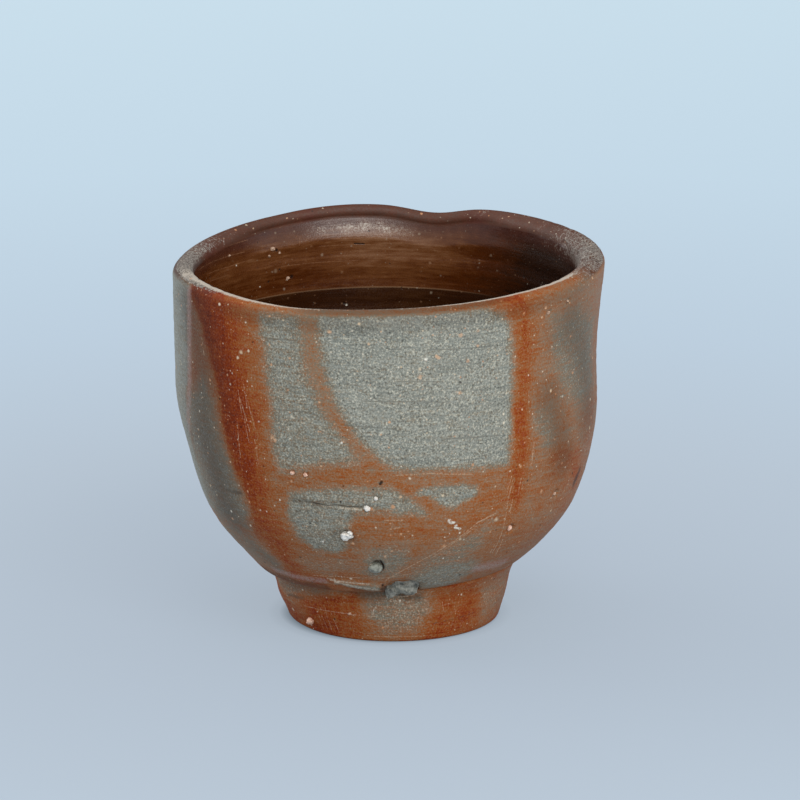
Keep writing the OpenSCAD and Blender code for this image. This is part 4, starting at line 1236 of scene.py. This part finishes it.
# %% Layer the clay's colour
clay_textures = {  # features per metre, detail, roughness, stretch along x, y and z
    "grain": (3600,), "salt": (3200, 2.0, 0.7), "mottle": (560, 3.0),
    "lines": (130, 4.0, 0.65, (1.0, 1.0, 12.0)), "scores": (420, 3.0, 0.6, (1.0, 1.0, 7.0)),
    "fibres": (900, 3.0, 0.6, (1.0, 1.0, 0.12))}
speck_sorts = [  # cells per metre, radius as a share of a cell, share of cells that show, strength
    (1400, 0.15, 0.42, 0.75), (640, 0.12, 0.38, 0.9), (260, 0.08, 0.32, 0.9)]
speck_colours = [
    (0.0, (232, 224, 206)), (0.45, (212, 190, 158)), (0.65, (212, 164, 126)), (1.0, (192, 132, 90))]
IRON, IRON_SPECKS = (36, 28, 24), (560, 0.09, 0.3)
mark_looks = [  # kind of mark, colour, strength, and the share of it that is broken away
    # The haze and lilac marks are painted sheen, crack and dark marks painted shade, and the pale strokes
    # on the red streak painted glints.
    ("faint", (62, 56, 48), 0.6, 0.5), ("painted_edge_sheen", (176, 158, 156), 0.34, 0.4),
    ("painted_lilac_sheen", (176, 158, 156), 0.5, 0.44), ("inner", (158, 116, 86), 0.6, 0.44),
    ("pale_mark_and_glint", (204, 174, 144), 0.65, 0.48), ("peach", (216, 172, 136), 0.95, 0.45),
    ("edge", (198, 184, 164), 0.85, 0.46), ("white", (232, 226, 212), 1.0, 0.42),
    ("crack", (50, 45, 40), 0.85, 0.35), ("dark", (32, 20, 15), 0.9, 0.2)]


def clay_colour(tree, point, tex, where):
    """The clay's colour without its marks, and the specks that also stand out of it or sink in."""
    colour = ash_salt(tree, flash_colour(tree, point, tex), point, tex)
    colour = blend(tree, point["inside"], colour, inside_colour(tree, point, tex, where))
    colour = lip_colour(tree, colour, point, tex)
    bare = calc(tree, "MULTIPLY_ADD", point["inside"], -0.75, 1.0)
    for per_metre, radius, keep, strength in speck_sorts:
        dots, hue = speckle(tree, where, per_metre, radius, keep)
        share = times(tree, dots, times(tree, bare, strength))
        colour = blend(tree, share, colour, ramp(tree, hue, speck_colours))
    iron, _ = speckle(tree, where, *IRON_SPECKS)
    return blend(tree, times(tree, iron, 0.75), colour, linear(*IRON)), dots, iron


print(len(clay_textures), "textures and", len(mark_looks), "kinds of marks")

# %% [markdown]
# Now all of it meets in one colour, one roughness and one bump, so light catches the same grains that the
# colour shows. The outside is dry: a low index of refraction keeps its shine low, and where the flame made
# it red it shines least. The bare inside has the ordinary index and is smoother. One recipe serves the
# outside, the inside and the foot, with other marks and other shine.

# %% Fire the clay
DRY_ROUGH, GRAIN_ROUGH, ASH_ROUGH = 0.62, 0.3, 0.2
SPECULAR, FLAMED_LOSS, SHEEN_TINT = 0.5, 0.42, (0.86, 0.85, 0.95, 1)
BREAK_LOW, BREAK_HIGH = 0.1, 0.12
relief_mm = {"grain": 0.06, "lines": 0.09, "scores": 0.05, "salt": 0.04, "dots": 0.08, "iron": -0.08,
             "drawn": -0.16}


def fire_clay(name, marks, marked, ior, shine, relief, sheen):
    """A finish of fired clay. Shine comes off the roughness; marked names the number that limits both."""
    finish, tree, shader = new_finish(name)
    where = wire(tree, "TexCoord").outputs["Object"]
    place = clay_place(tree, where)
    tex = {key: cloud(tree, where, *how) for key, how in clay_textures.items()}
    point = {key: number(tree, key) for key in numbers}
    colour, dots, iron = clay_colour(tree, point, tex, where)
    for sort, tint, strength, gone in mark_looks:
        if sort in marks:
            drawn = times(tree, draw_marks(tree, place, marks[sort]), point[marked])
            left = step_up(tree, tex["salt"], gone - BREAK_LOW, gone + BREAK_HIGH, strength)
            colour = blend(tree, times(tree, drawn, left), colour, linear(*tint))
    tree.links.new(colour, shader.inputs["Base Color"])
    dry = sway(tree, DRY_ROUGH, tex["grain"], GRAIN_ROUGH)
    rough = calc(tree, "MULTIPLY_ADD", point[marked], -shine, dry)
    rough = hold(tree, calc(tree, "MULTIPLY_ADD", point["ash"], ASH_ROUGH, rough))
    tree.links.new(rough, shader.inputs["Roughness"])
    flamed = times(tree, step_up(tree, point["flash"], 0.95, 1.35), point["outside"])
    glint = calc(tree, "MULTIPLY_ADD", flamed, -FLAMED_LOSS, SPECULAR)
    tree.links.new(glint, shader.inputs["Specular IOR Level"])
    for key, value in (("IOR", ior), ("Sheen Weight", sheen), ("Sheen Tint", SHEEN_TINT)):
        shader.inputs[key].default_value = value
    heights = {**tex, "dots": dots, "iron": iron, "drawn": drawn}
    rise = 0.0
    for key, amount in relief_mm.items():
        rise = calc(tree, "MULTIPLY_ADD", heights[key], amount, rise)
    swell = wire(tree, "Bump", [("Strength", relief), ("Distance", MM), ("Height", rise)])
    tree.links.new(swell.outputs["Normal"], shader.inputs["Normal"])
    return finish


clay_finishes = [
    (bowl, "fired_clay_outside", bowl_marks, "outside",
     {"ior": 1.22, "shine": 0.1, "relief": 0.7, "sheen": 0.02}),
    (bowl, "fired_clay_inside", inside_marks, "inside",
     {"ior": 1.5, "shine": 0.34, "relief": 0.3, "sheen": 0.0}),
    (foot, "fired_clay_foot", foot_marks, "outside",
     {"ior": 1.25, "shine": 0.1, "relief": 0.7, "sheen": 0.02})]
for piece, name, marks, marked, look in clay_finishes:
    piece.data.materials.append(fire_clay(name, marks, marked, **look))
bowl.data.polygons.foreach_set("material_index", glossy.astype(np.int32))
print("clay finishes:", [m.name for m in bpy.data.materials])

# %% [markdown]
# ## Stones
# Coarse clay holds bits of feldspar and grit that crack the skin open in the fire. A stone is broken, not
# round: we take a fine ball, slice it flat from several random sides, and roughen it. The random sides
# come from a seed of each stone's own, so they are the same in every run.

# %% Shape a stone
import bmesh

SLICE_SPREAD, LUMP, LUMP_HEIGHT = 0.22, 0.5, 1.4


def broken_stone(sheet, centre, axes, size, seed, slices=9, deep=0.62, rough=0.16):
    """Adds one broken stone to a bmesh. Size is its width, height and depth in mm."""
    dice = np.random.default_rng(seed)
    made = bmesh.ops.create_icosphere(sheet, subdivisions=4, radius=1.0)["verts"]
    ball = np.array([v.co for v in made])
    for _ in range(slices):
        n = dice.normal(size=3)
        n /= np.linalg.norm(n)
        over = np.maximum(ball @ n - dice.uniform(deep, deep + SLICE_SPREAD), 0)
        ball = ball - over[:, None] * n
    ball = ball * (1 + rough * (layered(ball + seed, LUMP, seed, 2)[:, None] - 0.5) * LUMP_HEIGHT)
    outward, side, up = axes
    local = ball * np.array(size) / 2
    world = centre + local[:, :1] * side + local[:, 1:2] * up + local[:, 2:] * outward
    for v, p in zip(made, world * MM):
        v.co = p


print("stone shape ready")

# %% [markdown]
# Each stone sits in the pocket that the bowl's net already has, sunk so that only its face shows. So we
# need the surface there: its place, the way it faces and which way is up. The slope comes from the wall's
# radius a little above and a little below.

# %% Find a place for a stone and set it
def wall_frame(direction, z, on_foot=False):
    """A place on the outside in mm, with its outward, sideways and upward axes."""
    a, step = np.array(float(direction)), 0.2

    def reach(height):
        height = np.array(height)
        return float(foot_r(height) if on_foot else wall_r(height - FOOT_H, a))

    r, lean = reach(z), (reach(z + step) - reach(z - step)) / (2 * step)
    out_flat = np.array([cosd(direction), math.sin(math.radians(direction)), 0])
    side = np.array([-out_flat[1], out_flat[0], 0])
    outward = out_flat - np.array([0, 0, lean])
    outward = outward / np.linalg.norm(outward)
    return r * out_flat + np.array([0, 0, z]), (outward, side, np.cross(outward, side))


def set_stones(name, node, finish, stones):
    """One piece of one or more stones, each a dictionary of what broken_stone needs."""
    sheet = bmesh.new()
    for stone in stones:
        broken_stone(sheet, **stone)
    mesh = bpy.data.meshes.new(name)
    sheet.to_mesh(mesh)
    sheet.free()
    mesh.polygons.foreach_set("use_smooth", [True] * len(mesh.polygons))
    mesh.materials.append(finish)
    piece = bpy.data.objects.new(name, mesh)
    scene.collection.objects.link(piece)
    join_frame(piece, node)
    return piece


def bedded(direction, z, size, sunk, seed, on_foot=False, rough=0.2, **cuts):
    """A stone in the wall or foot, sunk below the surface by a depth in mm."""
    surface, axes = wall_frame(direction, z, on_foot)
    stone = {"centre": surface - axes[0] * sunk, "axes": axes, "size": size, "seed": seed, "rough": rough}
    return {**stone, **cuts}


print("stone helpers ready")

# %% [markdown]
# Each kind of stone has its own finish: a light and a dark crystal colour mixed by fine noise, which also
# roughens the surface.

# %% Mix the stone finishes
def stone_finish(name, light, dark, rough=0.7, scale=2600.0):
    finish, tree, shader = new_finish(name)
    where = wire(tree, "TexCoord").outputs["Object"]
    crystals = cloud(tree, where, scale, 3.0, 0.7)
    share = step_up(tree, crystals, 0.32, 0.62)
    tree.links.new(blend(tree, share, linear(*dark), linear(*light)), shader.inputs["Base Color"])
    tree.links.new(step_up(tree, crystals, 0.0, 0.7, rough), shader.inputs["Roughness"])
    swell = wire(tree, "Bump", [("Strength", 0.6), ("Distance", 0.12 * MM), ("Height", crystals)])
    tree.links.new(swell.outputs["Normal"], shader.inputs["Normal"])
    return finish


white_finish = stone_finish("white_feldspar", (246, 243, 236), (214, 204, 192))
pink_finish = stone_finish("pink_feldspar", (242, 206, 184), (194, 138, 110))
grey_finish = stone_finish("grey_stone", (160, 161, 148), (96, 97, 88), scale=1500.0)
shard_finish = stone_finish("blue_grey_stone", (160, 158, 146), (54, 56, 50), scale=1100.0)
grit_finish = stone_finish("pale_grit", (214, 184, 160), (146, 108, 84))
print("stone finishes mixed")

# %% [markdown]
# A table holds the stones of the wall and the foot, each with its direction and height, its width, height
# and depth, how deep it is sunk, and its seed. The large white one has crumbled into three lumps. The
# pebble is the only one that water rounded: it gets no slices and hardly any roughness.

# %% Set the stones in the wall and the foot
crumbly, rounded_off, in_foot = {"rough": 0.5}, {"rough": 0.12, "slices": 0}, {"on_foot": True}
bedded_stones = [  # piece, CAD node, slot, finish, how it is broken or set, stones
    ("large_white_lumps", "large_white_stone", "white_stone", white_finish, crumbly, [
        (257.2, 20.8, (2.1, 1.9, 1.6), 0.32, 3), (258.1, 21.4, (1.0, 0.9, 1.2), 0.26, 4),
        (256.2, 20.3, (0.9, 0.8, 1.2), 0.26, 6)]),
    ("small_white_lump", "small_white_stone", "white_stone", white_finish, crumbly, [
        (263.5, 25.85, (1.15, 1.0, 1.2), 0.25, 7)]),
    ("white_chip_lump", "white_chip", "white_stone", white_finish, {},
     [(266.1, 27.7, (0.7, 0.8, 0.9), 0.18, 8)]),
    ("pink_lumps", "pink_stones", "pink_stone", pink_finish, {}, [
        (242.4, 30.9, (0.85, 0.8, 1.0), 0.26, 9), (246.4, 30.9, (0.75, 0.75, 0.9), 0.24, 10)]),
    ("grey_pebble_lump", "grey_pebble", "grey_stone", grey_finish, rounded_off, [
        (265.0, 14.7, (2.4, 1.9, 1.8), 0.28, 11)]),
    ("side_stone_lump", "side_stone", "pink_stone", pink_finish, {},
     [(309, 20.4, (0.75, 1.35, 1.0), 0.35, 12)]),
    ("slit_grain_lump", "slit_grain", "pale_grit", grit_finish, {},
     [(326.2, 24.3, (0.9, 0.6, 0.8), 0.3, 13)]),
    ("rim_grit_lumps", "rim_grit", "pale_grit", grit_finish, {}, [
        (317, 54.97, (0.8, 0.7, 0.8), 0.25, 14), (325, 55.88, (0.7, 0.6, 0.8), 0.25, 15)]),
    ("foot_stone_lump", "foot_stone", "pink_stone", pink_finish, in_foot, [
        (222.4, 1.75, (1.3, 1.15, 1.4), 0.3, 16)]),
    ("foot_grit_lumps", "foot_grit", "pale_grit", grit_finish, in_foot, [
        (249.6, 4.7, (0.7, 0.5, 0.8), 0.18, 17), (284.6, 4.85, (0.6, 0.45, 0.8), 0.18, 18),
        (288.2, 5.6, (0.7, 0.5, 0.8), 0.18, 19), (328.6, 4.2, (0.85, 0.65, 0.8), 0.18, 20)]),
]
for name, node, slot, finish, how, stones in bedded_stones:
    set_stones(name, node, finish, [bedded(*stone, **how) for stone in stones])
print("stones set in the wall and foot:", sum(len(row[-1]) for row in bedded_stones))

# %% [markdown]
# ## The broken stone in the joint and the grit inside
# A grey-blue shard lies in the joint with its long side along it. It is made of three overlapping lumps
# with deeper cuts, and its faces stay flat-shaded, so that it looks broken. The grit inside sits on the
# inner wall at the back, so its outward axis points to the cup's axis.

# %% Set the shard and the inside grit
SHARD_SUNK, GRAIN_SUNK, GRAIN_DEPTH = 0.8, 0.2, 0.9
shard_rows = [  # direction, height above the joint, size, seed
    (276.6, 0.8, (5.8, 4.6, 3.2), 27), (272.0, 0.45, (3.4, 3.8, 3.2), 31),
    (270.8, -0.5, (2.4, 0.8, 2.6), 29)]
shard_lumps = []
for direction, rise, size, seed in shard_rows:
    shard_lumps.append(bedded(direction, FOOT_H + rise, size, SHARD_SUNK, seed, rough=0.5, deep=0.58))
shard_piece = set_stones("joint_shard", "joint_stone", shard_finish, shard_lumps)
shard_piece.data.polygons.foreach_set("use_smooth", [False] * len(shard_piece.data.polygons))
inside_stones = []
grains = [  # direction, height above the foot, width
    (127.9, 44.2, 1.0), (125.4, 43.4, 0.6), (129.3, 43.1, 0.65), (122.7, 38.9, 1.0), (146.5, 44.9, 0.55)]
for k, (direction, h, size) in enumerate(grains):
    out_flat = np.array([cosd(direction), math.sin(math.radians(direction)), 0])
    a = np.array(float(direction))
    v = (h - FLOOR_T) / (lip_h(a) - LIP_ROUND - FLOOR_T)
    centre = (float(inside_r(v, a)) + GRAIN_SUNK) * out_flat + np.array([0, 0, FOOT_H + h])
    axes = (-out_flat, np.array([out_flat[1], -out_flat[0], 0]), np.array([0, 0, 1.0]))
    grain_size = (size, 0.85 * size, GRAIN_DEPTH)
    inside_stones.append({"centre": centre, "axes": axes, "size": grain_size, "seed": 30 + k})
set_stones("inside_grit_lumps", "inside_grit", grit_finish, inside_stones)
print("shard and inside grit set")
